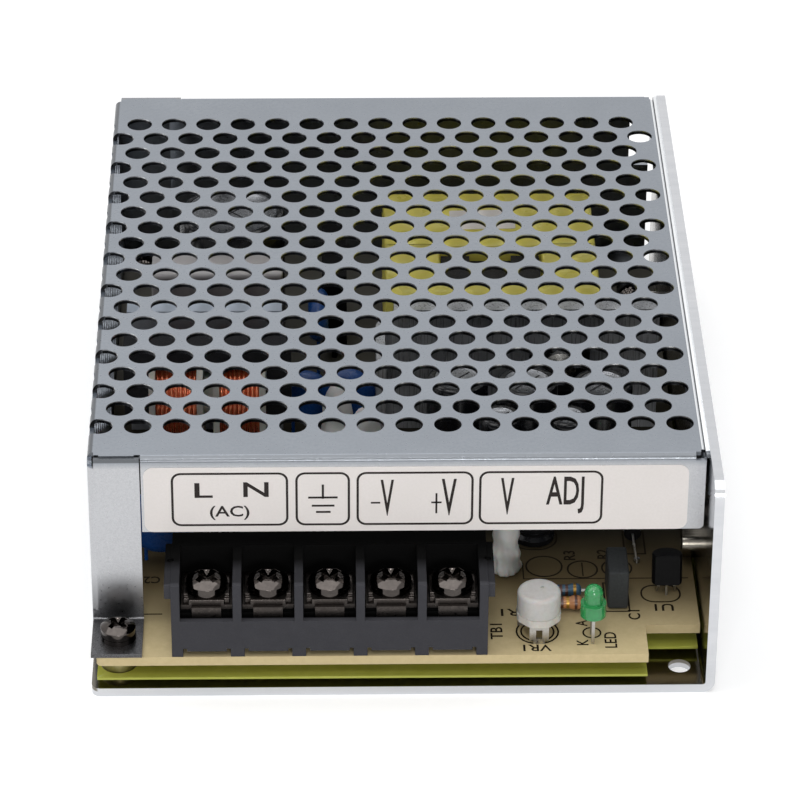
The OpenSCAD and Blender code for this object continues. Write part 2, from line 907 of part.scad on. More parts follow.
// Axial part lying along X, standing on its two bent wires
module axial_part(x, y, z, body_l, body_d, span_l) {
    translate([x, y, z])
        rotate([0, 90, 0]) {
            translate([0, 0, -body_l / 2])
                cylinder(d = body_d * 0.82, h = body_l);
            for (s = [-1, 1])
                translate([0, 0, s * (body_l / 2 - body_l / 8) - body_l / 8])
                    cylinder(d = body_d, h = body_l / 4);
            translate([0, 0, -span_l / 2])
                cylinder(r = lead_r, h = span_l);
        }
    for (s = [-1, 1])
        wire(x + s * span_l / 2, y, bt, z + lead_r);
}

module front_resistors() {
    color("rosybrown")
        axial_part(resistor_x, fy(12.4), bt + 1.5, resistor_l, 2.3, resistor_span);
    color("steelblue")
        axial_part(resistor_x, fy(15.9), bt + 1.4, resistor_l, 2.2, resistor_span);
}

// Round can with a crimped groove and a scored top
module can_capacitor(x, y, d, h, groove) {
    edge = min(0.7, d / 12);
    translate([x, y, bt])
        difference() {
            rotate_extrude()
                union() {
                    square([d / 2, h - edge]);
                    square([d / 2 - edge, h]);
                    translate([d / 2 - edge, h - edge])
                        circle(edge);
                }
            translate([0, 0, groove])
                rotate_extrude()
                    translate([d / 2 + 0.4, 0])
                        circle(0.8);
            for (a = [45, 135])
                translate([0, 0, h])
                    rotate(a)
                        cube([d * 0.6, 0.3, 0.3], center = true);
        }
}

module small_capacitor() {
    color([0.12, 0.12, 0.13])
        can_capacitor(block_x1 + 0.256 * free_w, fy(33.2), small_cap_d, small_cap_h, 1.6);
}

// White adhesive that steadies the parts behind the terminals
module silicone_bead() {
    color("white") {
        translate([block_x1 + 3.2, fy(23.6), bt])
            rotate_extrude()
                polygon([[0, 0], [2.1, 0], [2.6, 1.5], [2.5, 3.5], [1.7, 6], [1.35, 9],
                    [1.5, 13], [1.1, 15], [0, 15.5]]);
        for (p = [[-6.3, 54.4, 1], [-1.8, 50, 0.92]])
            translate([right_sink_x0 + p[0], fy(p[1]), bt])
                scale([1, 1, p[2]])
                    rotate_extrude()
                        polygon([[0, 0], [2.4, 0], [2.7, 2], [2.6, 7], [2.2, 10.5], [1.3, 12.4],
                            [0, 13]]);
    }
}

// ---------------------------------------------------------------- power parts

// Folded plate: upright face, lip along its top, feet on the board
module sink_plate(x0, w) {
    r = sink_t + 0.8;
    span([x0, sink_y, bt], [x0 + w, sink_y + sink_t, bt + sink_h - r]);
    translate([x0, sink_y + sink_t - r, bt + sink_h - r])
        rotate([90, 0, 90])
            linear_extrude(w)
                rotate(180)
                    bend_section(r, sink_t);
    span([x0, sink_y + sink_t - sink_lip, bt + sink_h - sink_t],
        [x0 + w, sink_y + sink_t - r, bt + sink_h]);
}

module left_heatsink() {
    color("silver")
        difference() {
            sink_plate(left_sink_x0, left_sink_w);
            translate([switch_x, sink_y - 1, bt + package_hole_z])
                rotate([-90, 0, 0])
                    cylinder(d = screw_d + 2 * running_gap, h = sink_t + 2);
        }
}

// The right plate also has an arm folded forward at its left end
module right_heatsink() {
    r = sink_t + 1.5;
    arm_l = 12;
    color("silver")
    difference() {
        union() {
            sink_plate(right_sink_x0 + r, right_sink_w - r);
            translate([right_sink_x0 + r, sink_y + sink_t - r, bt])
                linear_extrude(sink_h - 4)
                    mirror([0, 1])
                        bend_section(r, sink_t);
            span([right_sink_x0, sink_y + sink_t - r - arm_l, bt],
                [right_sink_x0 + sink_t, sink_y + sink_t - r, bt + sink_h - 4]);
        }
        translate([rectifier_x, sink_y - 1, bt + package_hole_z])
            rotate([-90, 0, 0])
                cylinder(d = screw_d + 2 * running_gap, h = sink_t + 2);
    }
}

// Power package flat against a heatsink, its hole at the screw's place
module power_package(x, y0, dir) {
    translate([x, y0, bt])
        mirror([0, dir > 0 ? 0 : 1, 0])
            difference() {
                union() {
                    span([-5, 0, 3], [5, 1.3, package_h]);
                    span([-5, 0, 3], [5, 4.4, package_thick_h]);
                    for (s = [-1, 0, 1])
                        span([s * lead_pitch - 0.4, 2.4, 0], [s * lead_pitch + 0.4, 2.9, 5]);
                }
                translate([0, -1, package_hole_z])
                    rotate([-90, 0, 0])
                        cylinder(d = screw_d + 2 * running_gap, h = 4);
            }
}

module switch_transistor() {
    color([0.15, 0.15, 0.16])
        power_package(switch_x, sink_y + sink_t, 1);
}

module output_rectifier() {
    color([0.15, 0.15, 0.16])
        power_package(rectifier_x, sink_y, -1);
}

// One screw through each heatsink, its head on the package
module sink_screws() {
    color("silver") {
        translate([switch_x, sink_y + sink_t + 1.3, bt + package_hole_z])
            rotate([-90, 0, 0])
                sink_screw();
        translate([rectifier_x, sink_y - 1.3, bt + package_hole_z])
            rotate([90, 0, 0])
                sink_screw();
    }
}

module sink_screw() {
    pan_head(screw_head_d, screw_head_h, 0.9);
    translate([0, 0, -1.3 - sink_t - shank_end])
        cylinder(d = screw_d, h = 1.3 + sink_t + shank_end + eps);
}

module transformer_bobbin() {
    color([0.15, 0.14, 0.13])
    translate([trafo_x - trafo_w / 2 + 2, trafo_y - trafo_l / 2, bt]) {
        span([0, 0, 0.6], [trafo_w - 4, trafo_l, 2.6]);
        for (y = [0.6, trafo_l - 0.6], k = [0 : 4])
            translate([3.5 + k * (trafo_w - 11) / 4, y, 0])
                cylinder(r = 0.4, h = 1);
    }
}

// Taped winding with a window that shows the core
module transformer_winding() {
    color([0.84, 0.8, 0.35])
    translate([trafo_x - trafo_w / 2, trafo_y - trafo_l / 2, bt + 2.6])
        difference() {
            linear_extrude(trafo_h - 2.6)
                round_rect(trafo_w, trafo_l, 1.5);
            span([(trafo_w - core_w) / 2, 5, trafo_h - 10],
                [(trafo_w + core_w) / 2, 5 + core_l, trafo_h]);
        }
}

module transformer_core() {
    color([0.16, 0.16, 0.17])
    translate([trafo_x, trafo_y - trafo_l / 2 + 5, bt + trafo_h - 7.4])
        difference() {
            span([-core_w / 2 + 0.2, 0.2, 0], [core_w / 2 - 0.2, core_l - 0.2, 5.6]);
            span([-3.5, -1, 4.6], [3.5, 14, 6]);
        }
}

module bulk_capacitor() {
    color([0.2, 0.2, 0.22])
        can_capacitor(bulk_x, bulk_y, bulk_d, bulk_h, 2.2);
}

module output_capacitor(i) {
    // Place along the right heatsink, distance behind the front, and diameter
    place = [[0.278, 50.2, output_d], [0.518, 49, output_d], [0.775, 48.2, output_d],
        [0.416, 38.5, output_d - 3], [0.648, 38.4, output_d - 3]][i - 1];
    color([0.15, 0.15, 0.16])
        can_capacitor(right_sink_x0 + place[0] * right_sink_w, fy(place[1]), place[2], output_h, 1.8);
}

// Upright bobbin with four flanges, lying along X
module choke_bobbin() {
    color("beige")
    translate([choke_x0, choke_y, bt])
        difference() {
            union() {
                for (x = [0, choke_w * 0.41, choke_w * 0.55, choke_w - 1])
                    span([x, -choke_l / 2, 0], [x + 1, choke_l / 2, choke_h]);
                translate([0.5, 0, choke_axis])
                    rotate([0, 90, 0])
                        cylinder(d = 8.4, h = choke_w - 1);
            }
            translate([-1, 0, choke_axis])
                rotate([0, 90, 0])
                    cylinder(d = 6.4, h = choke_w + 2);
        }
}

// Two sections of copper wire, ridged turn by turn
module choke_windings() {
    turn = 0.9;
    color([0.78, 0.42, 0.25])
    translate([choke_x0, choke_y, bt + choke_axis])
        for (s = [[1, choke_w * 0.41], [choke_w * 0.55 + 1, choke_w - 1]])
            translate([s[0], 0, 0])
                rotate([0, 90, 0])
                    rotate_extrude()
                        difference() {
                            translate([4.2, 0])
                                square([2.6, s[1] - s[0]]);
                            for (k = [0 : floor((s[1] - s[0]) / turn)])
                                translate([7.05, k * turn])
                                    circle(0.42);
                        }
}

// Ferrite loop: one leg through the bobbin, one above it
module choke_core() {
    color([0.14, 0.14, 0.15])
    translate([choke_x0, choke_y, bt + choke_axis]) {
        translate([-1.6, 0, 0])
            rotate([0, 90, 0])
                cylinder(d = 6.2, h = choke_w + 3.2);
        for (x = [-choke_end, choke_w + 0.2])
            span([x, -3.1, -3.1], [x + choke_end - 0.2, 3.1, choke_l / 2 + 0.6]);
        span([-choke_end, -3.1, choke_l / 2 + 0.3],
            [choke_w + choke_end, 3.1, choke_l / 2 + 3.3]);
    }
}

module line_capacitor() {
    color([0.8, 0.78, 0.72])
    translate([line_cap_x0, line_cap_y0, bt]) {
        translate([0, 0, 0.3])
            linear_extrude(line_cap_h)
                round_rect(line_cap_w, line_cap_l, 0.5);
        for (s = [-1, 1])
            translate([line_cap_w * (0.5 + 0.35 * s), line_cap_l / 2, 0])
                cylinder(r = 0.4, h = 0.5);
    }
}

// Disc with round edges standing on two wires, facing an angle about Z
module disc_part(x, y, d, t, angle, rise) {
    translate([x, y, bt])
        rotate(angle) {
            translate([0, 0, rise + d / 2])
                rotate([90, 0, 0])
                    rotate_extrude() {
                        translate([0, -t / 2])
                            square([d / 2 - t / 3, t]);
                        translate([d / 2 - t / 3, 0])
                            intersection() {
                                circle(t / 2);
                                translate([0, -t])
                                    square([t, 2 * t]);
                            }
                    }
            for (s = [-1, 1])
                translate([s * d / 4, 0, 0])
                    cylinder(r = lead_r, h = rise + d / 4);
        }
}

module disc_capacitor(i) {
    // Place, diameter, thickness, heading and lift of each disc
    place = [[right_sink_x0 - 4.6, 60.2, 8, 3.6, 0, 6.9],
        [left_sink_x0 + left_sink_w + 3.7, 64.2, 8, 3.4, 0, 4],
        [left_sink_x0 + left_sink_w + 6, 82, 8, 3.4, 90, 9]][i - 1];
    color([0.1, 0.3, 0.6])
        disc_part(place[0], fy(place[1]), place[2], place[3], place[4], place[5]);
}

module varistor() {
    color([0.1, 0.3, 0.6])
        disc_part(board_x0 + 9.4, fy(27.5), 10, 4, 0, 2.4);
}

// Tube between two end caps, on two wires
module fuse() {
    z = bt + fuse_d / 2 + 1.5;
    x0 = board_x0 + 17;
    color("wheat")
    translate([x0, fy(33), z])
        rotate([0, 90, 0]) {
            cylinder(d = fuse_d - 0.4, h = fuse_l);
            for (s = [0, 1])
                translate([0, 0, s * 0.75 * fuse_l])
                    cylinder(d = fuse_d, h = fuse_l / 4);
        }
    for (x = [x0 + 1, x0 + fuse_l - 1])
        wire(x, fy(33), bt, z, 0.4);
}

module bridge_rectifier() {
    color([0.14, 0.14, 0.15])
    translate([bridge_x - bridge_size[0] / 2, bulk_y - bridge_size[1] / 2, bt]) {
        translate([0, 0, 3.5])
            difference() {
                rotate([90, 0, 90])
                    linear_extrude(bridge_size[0])
                        round_rect(bridge_size[1], bridge_size[2], 0.5);
                translate([-1, bridge_size[1] / 2, bridge_size[2] / 2])
                    rotate([0, 90, 0])
                        cylinder(d = 3.2, h = bridge_size[0] + 2);
            }
        for (k = [0 : 3])
            translate([bridge_size[0] / 2, bridge_size[1] * (0.125 + k / 4), 0])
                cylinder(r = 0.5, h = 4);
    }
}

// ---------------------------------------------------------------- nodes

chassis();
cover();
insulation_film();
circuit_board();
board_standoffs();
foot_screw();
foot_washer();
board_screws();
cover_screws();
terminal_block();
for (i = [1 : ways]) {
    terminal_contact(i);
    clamp_plate(i);
    terminal_screw(i);
}
trimmer_base();
trimmer_legs();
trimmer_cap();
lamp_lens();
lamp_leads();
film_capacitor();
regulator_body();
regulator_leads();
front_resistors();
small_capacitor();
silicone_bead();
left_heatsink();
right_heatsink();
switch_transistor();
output_rectifier();
sink_screws();
transformer_core();
transformer_winding();
transformer_bobbin();
bulk_capacitor();
for (i = [1 : 5])
    output_capacitor(i);
for (i = [1 : 3])
    disc_capacitor(i);
choke_core();
choke_bobbin();
choke_windings();
line_capacitor();
varistor();
fuse();
bridge_rectifier();
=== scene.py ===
"""Dresses an enclosed power supply: finishes for its solids, and the finer pieces.

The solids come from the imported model. Each class below looks after one
sub-assembly: it gives the solids their finish, builds the pieces that the solids
leave out, and reports what it made.
"""
from __future__ import annotations

import logging  # noqa: E402
import math  # noqa: E402
from collections.abc import Callable, Sequence  # noqa: E402
from dataclasses import dataclass  # noqa: E402
from enum import Enum  # noqa: E402
from functools import reduce  # noqa: E402

import bmesh  # noqa: E402
import bpy  # noqa: E402
from mathutils import Matrix, Vector  # noqa: E402


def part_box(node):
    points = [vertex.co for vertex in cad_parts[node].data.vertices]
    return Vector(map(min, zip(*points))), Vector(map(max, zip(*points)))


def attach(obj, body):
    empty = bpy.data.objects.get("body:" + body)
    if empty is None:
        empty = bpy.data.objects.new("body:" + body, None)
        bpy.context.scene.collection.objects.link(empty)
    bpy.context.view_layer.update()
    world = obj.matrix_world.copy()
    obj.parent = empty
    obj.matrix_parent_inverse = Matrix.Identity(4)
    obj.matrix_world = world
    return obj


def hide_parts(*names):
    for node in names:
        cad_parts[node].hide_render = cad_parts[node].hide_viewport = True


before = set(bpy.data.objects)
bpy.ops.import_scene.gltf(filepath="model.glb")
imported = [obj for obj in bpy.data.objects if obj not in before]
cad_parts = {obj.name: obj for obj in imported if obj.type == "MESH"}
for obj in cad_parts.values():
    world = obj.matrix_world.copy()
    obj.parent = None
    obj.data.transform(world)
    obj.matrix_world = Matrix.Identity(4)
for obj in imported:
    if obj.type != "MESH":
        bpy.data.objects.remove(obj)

log = logging.getLogger("power_supply")
MM = 0.001
CASE = "case"
Colour = tuple[float, float, float]
Point = tuple[float, float, float]
Socket = bpy.types.NodeSocket
Mesh = bmesh.types.BMesh


def srgb(red: int, green: int, blue: int) -> Colour:
    """Turns a colour as seen on a screen into the shader's linear values.

    Args:
        red: Red, 0 to 255.
        green: Green, 0 to 255.
        blue: Blue, 0 to 255.

    Returns:
        The three linear values.
    """
    def linear(value: int) -> float:
        """Undoes the screen's curve for one channel."""
        v = value / 255
        return v / 12.92 if v <= 0.04045 else ((v + 0.055) / 1.055) ** 2.4

    return linear(red), linear(green), linear(blue)


# ---------------------------------------------------------------- finishes


class Grain(Enum):
    """The kind of fine pattern that a surface carries."""

    MOTTLED = "mottled"
    ROLLED_X = "rolled along X"
    ROLLED_Z = "rolled along Z"
    LAYERED = "layered along Z"


class Nodes:
    """A material's node tree, with one method for each kind of node used here."""

    def __init__(self, name: str) -> None:
        """Starts a material with a shader and an output.

        Args:
            name: Name of the material.
        """
        self.material = bpy.data.materials.new(name)
        self.material.use_nodes = True
        self.tree = self.material.node_tree
        self.shader = self.tree.nodes["Principled BSDF"]
        self.place = self.tree.nodes.new("ShaderNodeTexCoord").outputs["Object"]

    def add(self, kind: str, vector: Socket | None = None,
            **values: float | Sequence[float]) -> bpy.types.Node:
        """Adds a node.

        Args:
            kind: Type of the node.
            vector: What its Vector input reads.
            values: Values of its other inputs.

        Returns:
            The node.
        """
        node = self.tree.nodes.new(kind)
        for name, value in values.items():
            node.inputs[name].default_value = value
        if vector is not None:
            self.link(vector, node.inputs["Vector"])
        return node

    def link(self, source: Socket, target: Socket) -> None:
        """Connects two sockets."""
        self.tree.links.new(source, target)

    def noise(self, scale: float, stretch: Sequence[float] = (1, 1, 1),
              detail: float = 4, rough: float = 0.55) -> Socket:
        """Adds noise, 0 to 1, of so many waves in a metre, stretched, with finer layers."""
        stretched = self.add("ShaderNodeMapping", self.place, Scale=stretch)
        return self.add("ShaderNodeTexNoise", stretched.outputs["Vector"], Scale=scale, Detail=detail,
                        Roughness=rough).outputs["Fac"]

    def cells(self, scale: float) -> Socket:
        """Adds a pattern of cells, this many in a metre, as the distance to their middle."""
        return self.add("ShaderNodeTexVoronoi", self.place, Scale=scale).outputs["Distance"]

    def layers(self, scale: float) -> Socket:
        """Adds uneven level bands, 0 to 1, of this scale in a metre."""
        node = self.add("ShaderNodeTexWave", self.place, Scale=scale, Distortion=1.5)
        node.bands_direction = "Z"
        return node.outputs["Fac"]

    def fitted(self, source: Socket, low: float, high: float, out_low: float, out_high: float) -> Socket:
        """Maps one range of a value onto another.

        Args:
            source: The value.
            low: Value that gives out_low.
            high: Value that gives out_high.
            out_low: Lower end of the result.
            out_high: Upper end of the result.

        Returns:
            The mapped value.
        """
        node = self.add("ShaderNodeMapRange", **{"From Min": low, "From Max": high,
                                                 "To Min": out_low, "To Max": out_high})
        self.link(source, node.inputs["Value"])
        return node.outputs["Result"]

    def blended(self, share: Socket, first: Colour | Socket, second: Colour | Socket) -> Socket:
        """Mixes two colours.

        Args:
            share: How much of the second colour there is.
            first: Colour, or socket, where the share is 0.
            second: Colour, or socket, where the share is 1.

        Returns:
            The mixed colour.
        """
        node = self.add("ShaderNodeMix")
        node.data_type = "RGBA"
        self.link(share, node.inputs[0])
        for socket, value in ((node.inputs[6], first), (node.inputs[7], second)):
            if isinstance(value, Socket):
                self.link(value, socket)
            else:
                socket.default_value = (*value, 1)
        return node.outputs[2]

    def along(self, axis: str) -> Socket:
        """Gives the place along one axis, in metres."""
        return self.add("ShaderNodeSeparateXYZ", self.place).outputs[axis]

    def joined(self, how: str, first: Socket, second: Socket | float) -> Socket:
        """Combines two values.

        Args:
            how: Name of the sum, such as MULTIPLY or MAXIMUM.
            first: One value.
            second: The other value.

        Returns:
            The result.
        """
        node = self.add("ShaderNodeMath")
        node.operation = how
        self.link(first, node.inputs[0])
        if isinstance(second, Socket):
            self.link(second, node.inputs[1])
        else:
            node.inputs[1].default_value = second
        return node.outputs[0]

    def rise(self, source: Socket, low: float, high: float) -> Socket:
        """Gives 0 below low, 1 above high, and a ramp between them."""
        return self.fitted(source, low, high, 0, 1)

    def fall(self, source: Socket, low: float, high: float) -> Socket:
        """Gives 1 below low, 0 above high, and a ramp between them."""
        return self.fitted(source, low, high, 1, 0)

    def where(self, *parts: Socket) -> Socket:
        """Gives 1 where all the parts are 1, by their product."""
        return reduce(lambda total, part: self.joined("MULTIPLY", total, part), parts)

    def bumped(self, height: Socket, strength: float, depth: float, under: Socket | None = None) -> Socket:
        """Turns a height into a disturbed normal.

        Args:
            height: The height.
            strength: Strength of the effect, 0 to 1.
            depth: Depth in metres.
            under: Normal that this one is laid over.

        Returns:
            The normal.
        """
        node = self.add("ShaderNodeBump", Strength=strength, Distance=depth)
        self.link(height, node.inputs["Height"])
        if under is not None:
            self.link(under, node.inputs["Normal"])
        return node.outputs["Normal"]

    def set(self, **values: float | Colour) -> None:
        """Sets inputs of the shader, named in lower case with underscores."""
        for name, value in values.items():
            socket = self.shader.inputs[name.replace("_", " ").title().replace("Ior", "IOR")]
            if isinstance(value, tuple):
                value = (*value, 1)[:len(socket.default_value)]
            socket.default_value = value

    def feed(self, name: str, source: Socket) -> None:
        """Connects a value to one of the shader's inputs."""
        self.link(source, self.shader.inputs[name])


@dataclass(frozen=True)
class Finish:
    """A surface with a base tone, a second tone, and a grain that mixes them."""

    name: str
    tone: Colour
    second: Colour
    scale: float = 600
    metallic: float = 0
    roughness: tuple[float, float] = (0.4, 0.5)
    bump: float = 0.1
    depth: float = 0.00003
    grain: Grain = Grain.MOTTLED
    coat: float = 0
    specular: float = 0.5
    ior: float = 1.5

    def pattern(self, nodes: Nodes) -> Socket:
        """Adds the grain to a node tree.

        Args:
            nodes: The node tree.

        Returns:
            The grain, about 0 to 1.
        """
        if self.grain is Grain.ROLLED_X:
            return nodes.noise(self.scale, (0.03, 1, 1), 6, 0.65)
        if self.grain is Grain.ROLLED_Z:
            return nodes.noise(self.scale, (1, 1, 0.03), 6, 0.65)
        if self.grain is Grain.LAYERED:
            return nodes.layers(self.scale)
        return nodes.noise(self.scale, (1, 1, 1), 5, 0.6)

    def material(self) -> bpy.types.Material:
        """Makes the material, once for each finish."""
        made = bpy.data.materials.get(self.name)
        if made is not None:
            return made
        nodes = Nodes(self.name)
        nodes.set(metallic=self.metallic, specular_ior_level=self.specular, ior=self.ior,
                  coat_weight=self.coat, coat_roughness=0.12)
        grain = self.pattern(nodes)
        patches = nodes.noise(self.scale / 14, (1, 1, 1), 2, 0.5)
        share = nodes.fitted(grain, 0.3, 0.7, 0, 0.8)
        uneven = nodes.fitted(patches, 0.3, 0.7, 0, 0.5)
        mixed = nodes.blended(uneven, nodes.blended(share, self.tone, self.second), self.second)
        nodes.feed("Base Color", self.placed(nodes, mixed))
        nodes.feed("Roughness", nodes.fitted(grain, 0.3, 0.7, *self.roughness))
        nodes.feed("Normal", nodes.bumped(grain, self.bump, self.depth))
        self.extend(nodes)
        return nodes.material

    def placed(self, nodes: Nodes, colour: Socket) -> Socket:
        """Lets a finish of its own kind change its colour from place to place."""
        return colour

    def extend(self, nodes: Nodes) -> None:
        """Lets a finish of its own kind add to the tree."""


@dataclass(frozen=True)
class ClearFinish(Finish):
    """A tinted plastic that light passes through."""

    transmission: float = 0.6
    glow: float = 0

    def extend(self, nodes: Nodes) -> None:
        """Adds the light that passes through, and a faint glow."""
        nodes.set(transmission_weight=self.transmission, ior=1.5,
                  emission_color=self.tone, emission_strength=self.glow)


@dataclass(frozen=True)
class SoftFinish(Finish):
    """A waxy material that light goes a little way into."""

    reach: float = 0.0006

    def extend(self, nodes: Nodes) -> None:
        """Adds the light that goes into the material."""
        nodes.set(subsurface_weight=0.25, subsurface_scale=self.reach)


@dataclass(frozen=True)
class SheetFinish(Finish):
    """Rolled sheet with faint streaks one way and a fine metallic speckle."""

    def extend(self, nodes: Nodes) -> None:
        """Adds the speckle over the streaks."""
        speckle = nodes.cells(5200)
        streaks = nodes.noise(900, (0.04, 1, 1), 5, 0.6)
        fine = nodes.bumped(speckle, 0.06, 0.00001)
        nodes.feed("Normal", nodes.bumped(streaks, 0.05, 0.00002, fine))


@dataclass(frozen=True)
class CoverFinish(Finish):
    """Zinc-plated sheet: sugary speckle, with a painted pale reflection down the front leg, painted shade at
    its foot and along the folds, and painted shade in the hole walls under a painted highlight on their
    rims.
    """

    # Bounds of the painted light: the painted reflection on the front faces, the painted shade at the foot,
    # the painted rim highlight and the painted fold shade.
    front: float = -0.0535
    strip_top: tuple[float, float] = (0.0355, 0.0368)
    foot_shade_rise: tuple[float, float] = (0.0075, 0.0165)
    rim_highlight_rise: tuple[float, float] = (0.03725, 0.0374)
    fold_shade_low: tuple[float, float] = (0.0366, 0.0367)
    fold_shade_high: tuple[float, float] = (0.03746, 0.0375)
    # pale is the painted reflection on the upright front faces; the foot, fold and hole tones are painted
    # shade, and the rim tone is a painted highlight.
    pale: Colour = srgb(190, 191, 194)
    grain_tone: Colour = srgb(150, 152, 156)
    painted_fold_shade: Colour = srgb(104, 107, 111)
    painted_hole_shade: Colour = srgb(46, 47, 50)
    painted_rim_highlight: Colour = srgb(236, 238, 240)
    painted_foot_shade: Colour = srgb(76, 75, 76)

    def placed(self, nodes: Nodes, colour: Socket) -> Socket:
        """Paints a pale reflection on the upright faces at the front, painted shade at the bottom of the leg
        and along the front and left folds, and painted shade in the hole walls with a painted highlight on
        their rims.

        Args:
            nodes: The node tree.
            colour: Colour of the sheet elsewhere.

        Returns:
            The changed colour.
        """
        x, y, z = (nodes.along(axis) for axis in "XYZ")
        # Painted reflection pales the upright front faces, and painted shade darkens the foot of the leg.
        upright = nodes.where(nodes.fall(y, self.front - 0.0004, self.front - 0.0002),
                              nodes.fall(z, *self.strip_top))
        front = nodes.blended(nodes.fall(z, *self.foot_shade_rise), self.pale, self.painted_foot_shade)
        grains = nodes.fitted(nodes.noise(5200, (1, 1, 1), 2, 0.7), 0.42, 0.62, 0, 0.28)
        front = nodes.blended(grains, front, self.grain_tone)
        # Painted shade in the hole walls, rising to a painted highlight on their rims.
        wall = nodes.blended(nodes.rise(z, *self.rim_highlight_rise), self.painted_hole_shade, self.painted_rim_highlight)
        hole_wall_mask = nodes.where(nodes.rise(z, 0.0368, 0.03682), nodes.fall(z, 0.03748, 0.03749),
                               nodes.rise(y, -0.0532, -0.0531), nodes.rise(x, -0.0474, -0.0473))
        # Painted shade along the bend of the front and left folds.
        edge = nodes.joined("MAXIMUM", nodes.fall(y, -0.0534, -0.0533), nodes.fall(x, -0.0476, -0.0475))
        fold_shade_mask = nodes.where(edge, nodes.rise(z, *self.fold_shade_low), nodes.fall(z, *self.fold_shade_high))
        folded = nodes.blended(fold_shade_mask, nodes.blended(upright, colour, front), self.painted_fold_shade)
        return nodes.blended(hole_wall_mask, folded, wall)

    def extend(self, nodes: Nodes) -> None:
        """Adds a fine speckle to the surface."""
        coarse, fine = nodes.noise(2600, (1, 1, 1), 3, 0.7), nodes.cells(5200)
        nodes.feed("Normal", nodes.bumped(coarse, 0.1, 0.00002, nodes.bumped(fine, 0.08, 0.00001)))


@dataclass(frozen=True)
class PaintedLightFinish(Finish):
    """A finish with painted light and shade: tones mixed in along one axis, darker where shade is painted
    and brighter where light is painted.
    """

    axis: str = "Y"
    stages: tuple[tuple[float, float, Colour], ...] = ()

    def placed(self, nodes: Nodes, colour: Socket) -> Socket:
        """Mixes in each painted tone, of shade or of light, from its start to its end along the axis."""
        place = nodes.along(self.axis)
        for start, end, deep in self.stages:
            colour = nodes.blended(nodes.rise(place, start, end), colour, deep)
        return colour


@dataclass(frozen=True)
class ChassisFinish(SheetFinish):
    """Bright sheet outside, with painted shade on the faces that look into the case."""

    # Painted shade for the faces that look into the case.
    inner: Colour = srgb(126, 122, 114)

    def placed(self, nodes: Nodes, colour: Socket) -> Socket:
        """Paints shade on the faces inside the base, the wall and the front edges."""
        x, y, z = (nodes.along(axis) for axis in "XYZ")
        inside = nodes.where(nodes.fall(x, 0.0475, 0.0477), nodes.rise(z, 0.0008, 0.00095),
                             nodes.rise(y, -0.06445, -0.0643), nodes.fall(z, 0.022, 0.027))
        return nodes.blended(inside, colour, self.inner)


@dataclass(frozen=True)
class BlockFinish(Finish):
    """Moulded black plastic: the front face keeps its tone, the tops in front of the strip's shadow take a
    painted lit grey, and painted shade turns the cells and the rest near black.
    """

    front: float = -0.0634
    top: float = 0.0200
    strip_shadow_y: float = -0.0568
    # Painted light and shade: a lit grey for the tops in front of the strip's shadow, near black shade for
    # the cells and the rest.
    painted_lit_top: Colour = srgb(50, 50, 53)
    painted_cell_shade: Colour = srgb(17, 17, 17)

    def placed(self, nodes: Nodes, colour: Socket) -> Socket:
        """Keeps the tone on the front face, and paints shade on the rest, with a painted lit grey on the
        tops in front of the strip's shadow.

        Args:
            nodes: The node tree.
            colour: Colour of the front face.

        Returns:
            The changed colour.
        """
        y, z = nodes.along("Y"), nodes.along("Z")
        behind = nodes.rise(y, self.front, self.front + 0.0004)
        lit_top_mask = nodes.where(nodes.rise(z, self.top - 0.0003, self.top),
                            nodes.fall(y, self.strip_shadow_y - 0.003, self.strip_shadow_y))
        return nodes.blended(behind, colour, nodes.blended(lit_top_mask, self.painted_cell_shade, self.painted_lit_top))


ZINC = CoverFinish("zinc_sheet", srgb(150, 155, 162), srgb(136, 141, 148), 1500, 1, (0.26, 0.38), 0.05,
                   0.00001)
CHASSIS = ChassisFinish("chassis_sheet", srgb(214, 215, 218), srgb(198, 200, 204), 500, 1, (0.12, 0.2),
                        0.05, 0.00001, grain=Grain.ROLLED_X)
SINK = Finish("sink_sheet", srgb(208, 210, 214), srgb(170, 173, 178), 2600, 0.5, (0.22, 0.36), 0.12,
              0.00002, grain=Grain.ROLLED_Z)
# Painted highlight: above 29.5 mm the sink's top flange turns a bright blue-white.
PALE_SINK = PaintedLightFinish("pale_sink_painted_highlight", srgb(172, 174, 180), srgb(150, 153, 160), 700, 0, (0.4, 0.5),
                         0.05, 0.00001, specular=0.3, axis="Z",
                         stages=((0.0295, 0.0305, srgb(204, 214, 228)),))
FILM = Finish("yellow_film", srgb(184, 188, 88), srgb(170, 174, 72), 300, 0, (0.16, 0.26), 0.05, 0.00002,
              specular=0.3)
# Painted shade: the board darkens from the front into the shade behind the cover's front strip, and darker
# still inside the case; towards the back the tone lifts again to a grey.
BOARD = PaintedLightFinish("board_fibre", srgb(216, 198, 155), srgb(202, 184, 141), 900, 0, (0.42, 0.55), 0.12,
                     0.00002, specular=0.2, ior=1.15, axis="Y",
                     stages=((-0.0605, -0.044, srgb(104, 91, 66)), (-0.043, -0.030, srgb(48, 45, 38)),
                             (0.008, 0.024, srgb(98, 96, 90))))
SILK = Finish("silk_ink", srgb(34, 29, 22), srgb(44, 38, 30), 3000, 0, (0.5, 0.65), 0.1, 0.00001,
              specular=0.1, ior=1.15)
NICKEL = Finish("dark_nickel", srgb(84, 79, 76), srgb(66, 62, 60), 1500, 1, (0.06, 0.12), 0.03, 0.00001)
BRASS = Finish("dull_brass", srgb(176, 168, 128), srgb(150, 142, 102), 1500, 1, (0.3, 0.42), 0.08, 0.00001)
STEEL = Finish("plated_steel", srgb(182, 180, 176), srgb(150, 148, 144), 1800, 1, (0.2, 0.34), 0.08,
               0.00001)
CONTACT = Finish("dark_contact", srgb(82, 77, 74), srgb(60, 56, 54), 2400, 1, (0.24, 0.42), 0.2, 0.00002)
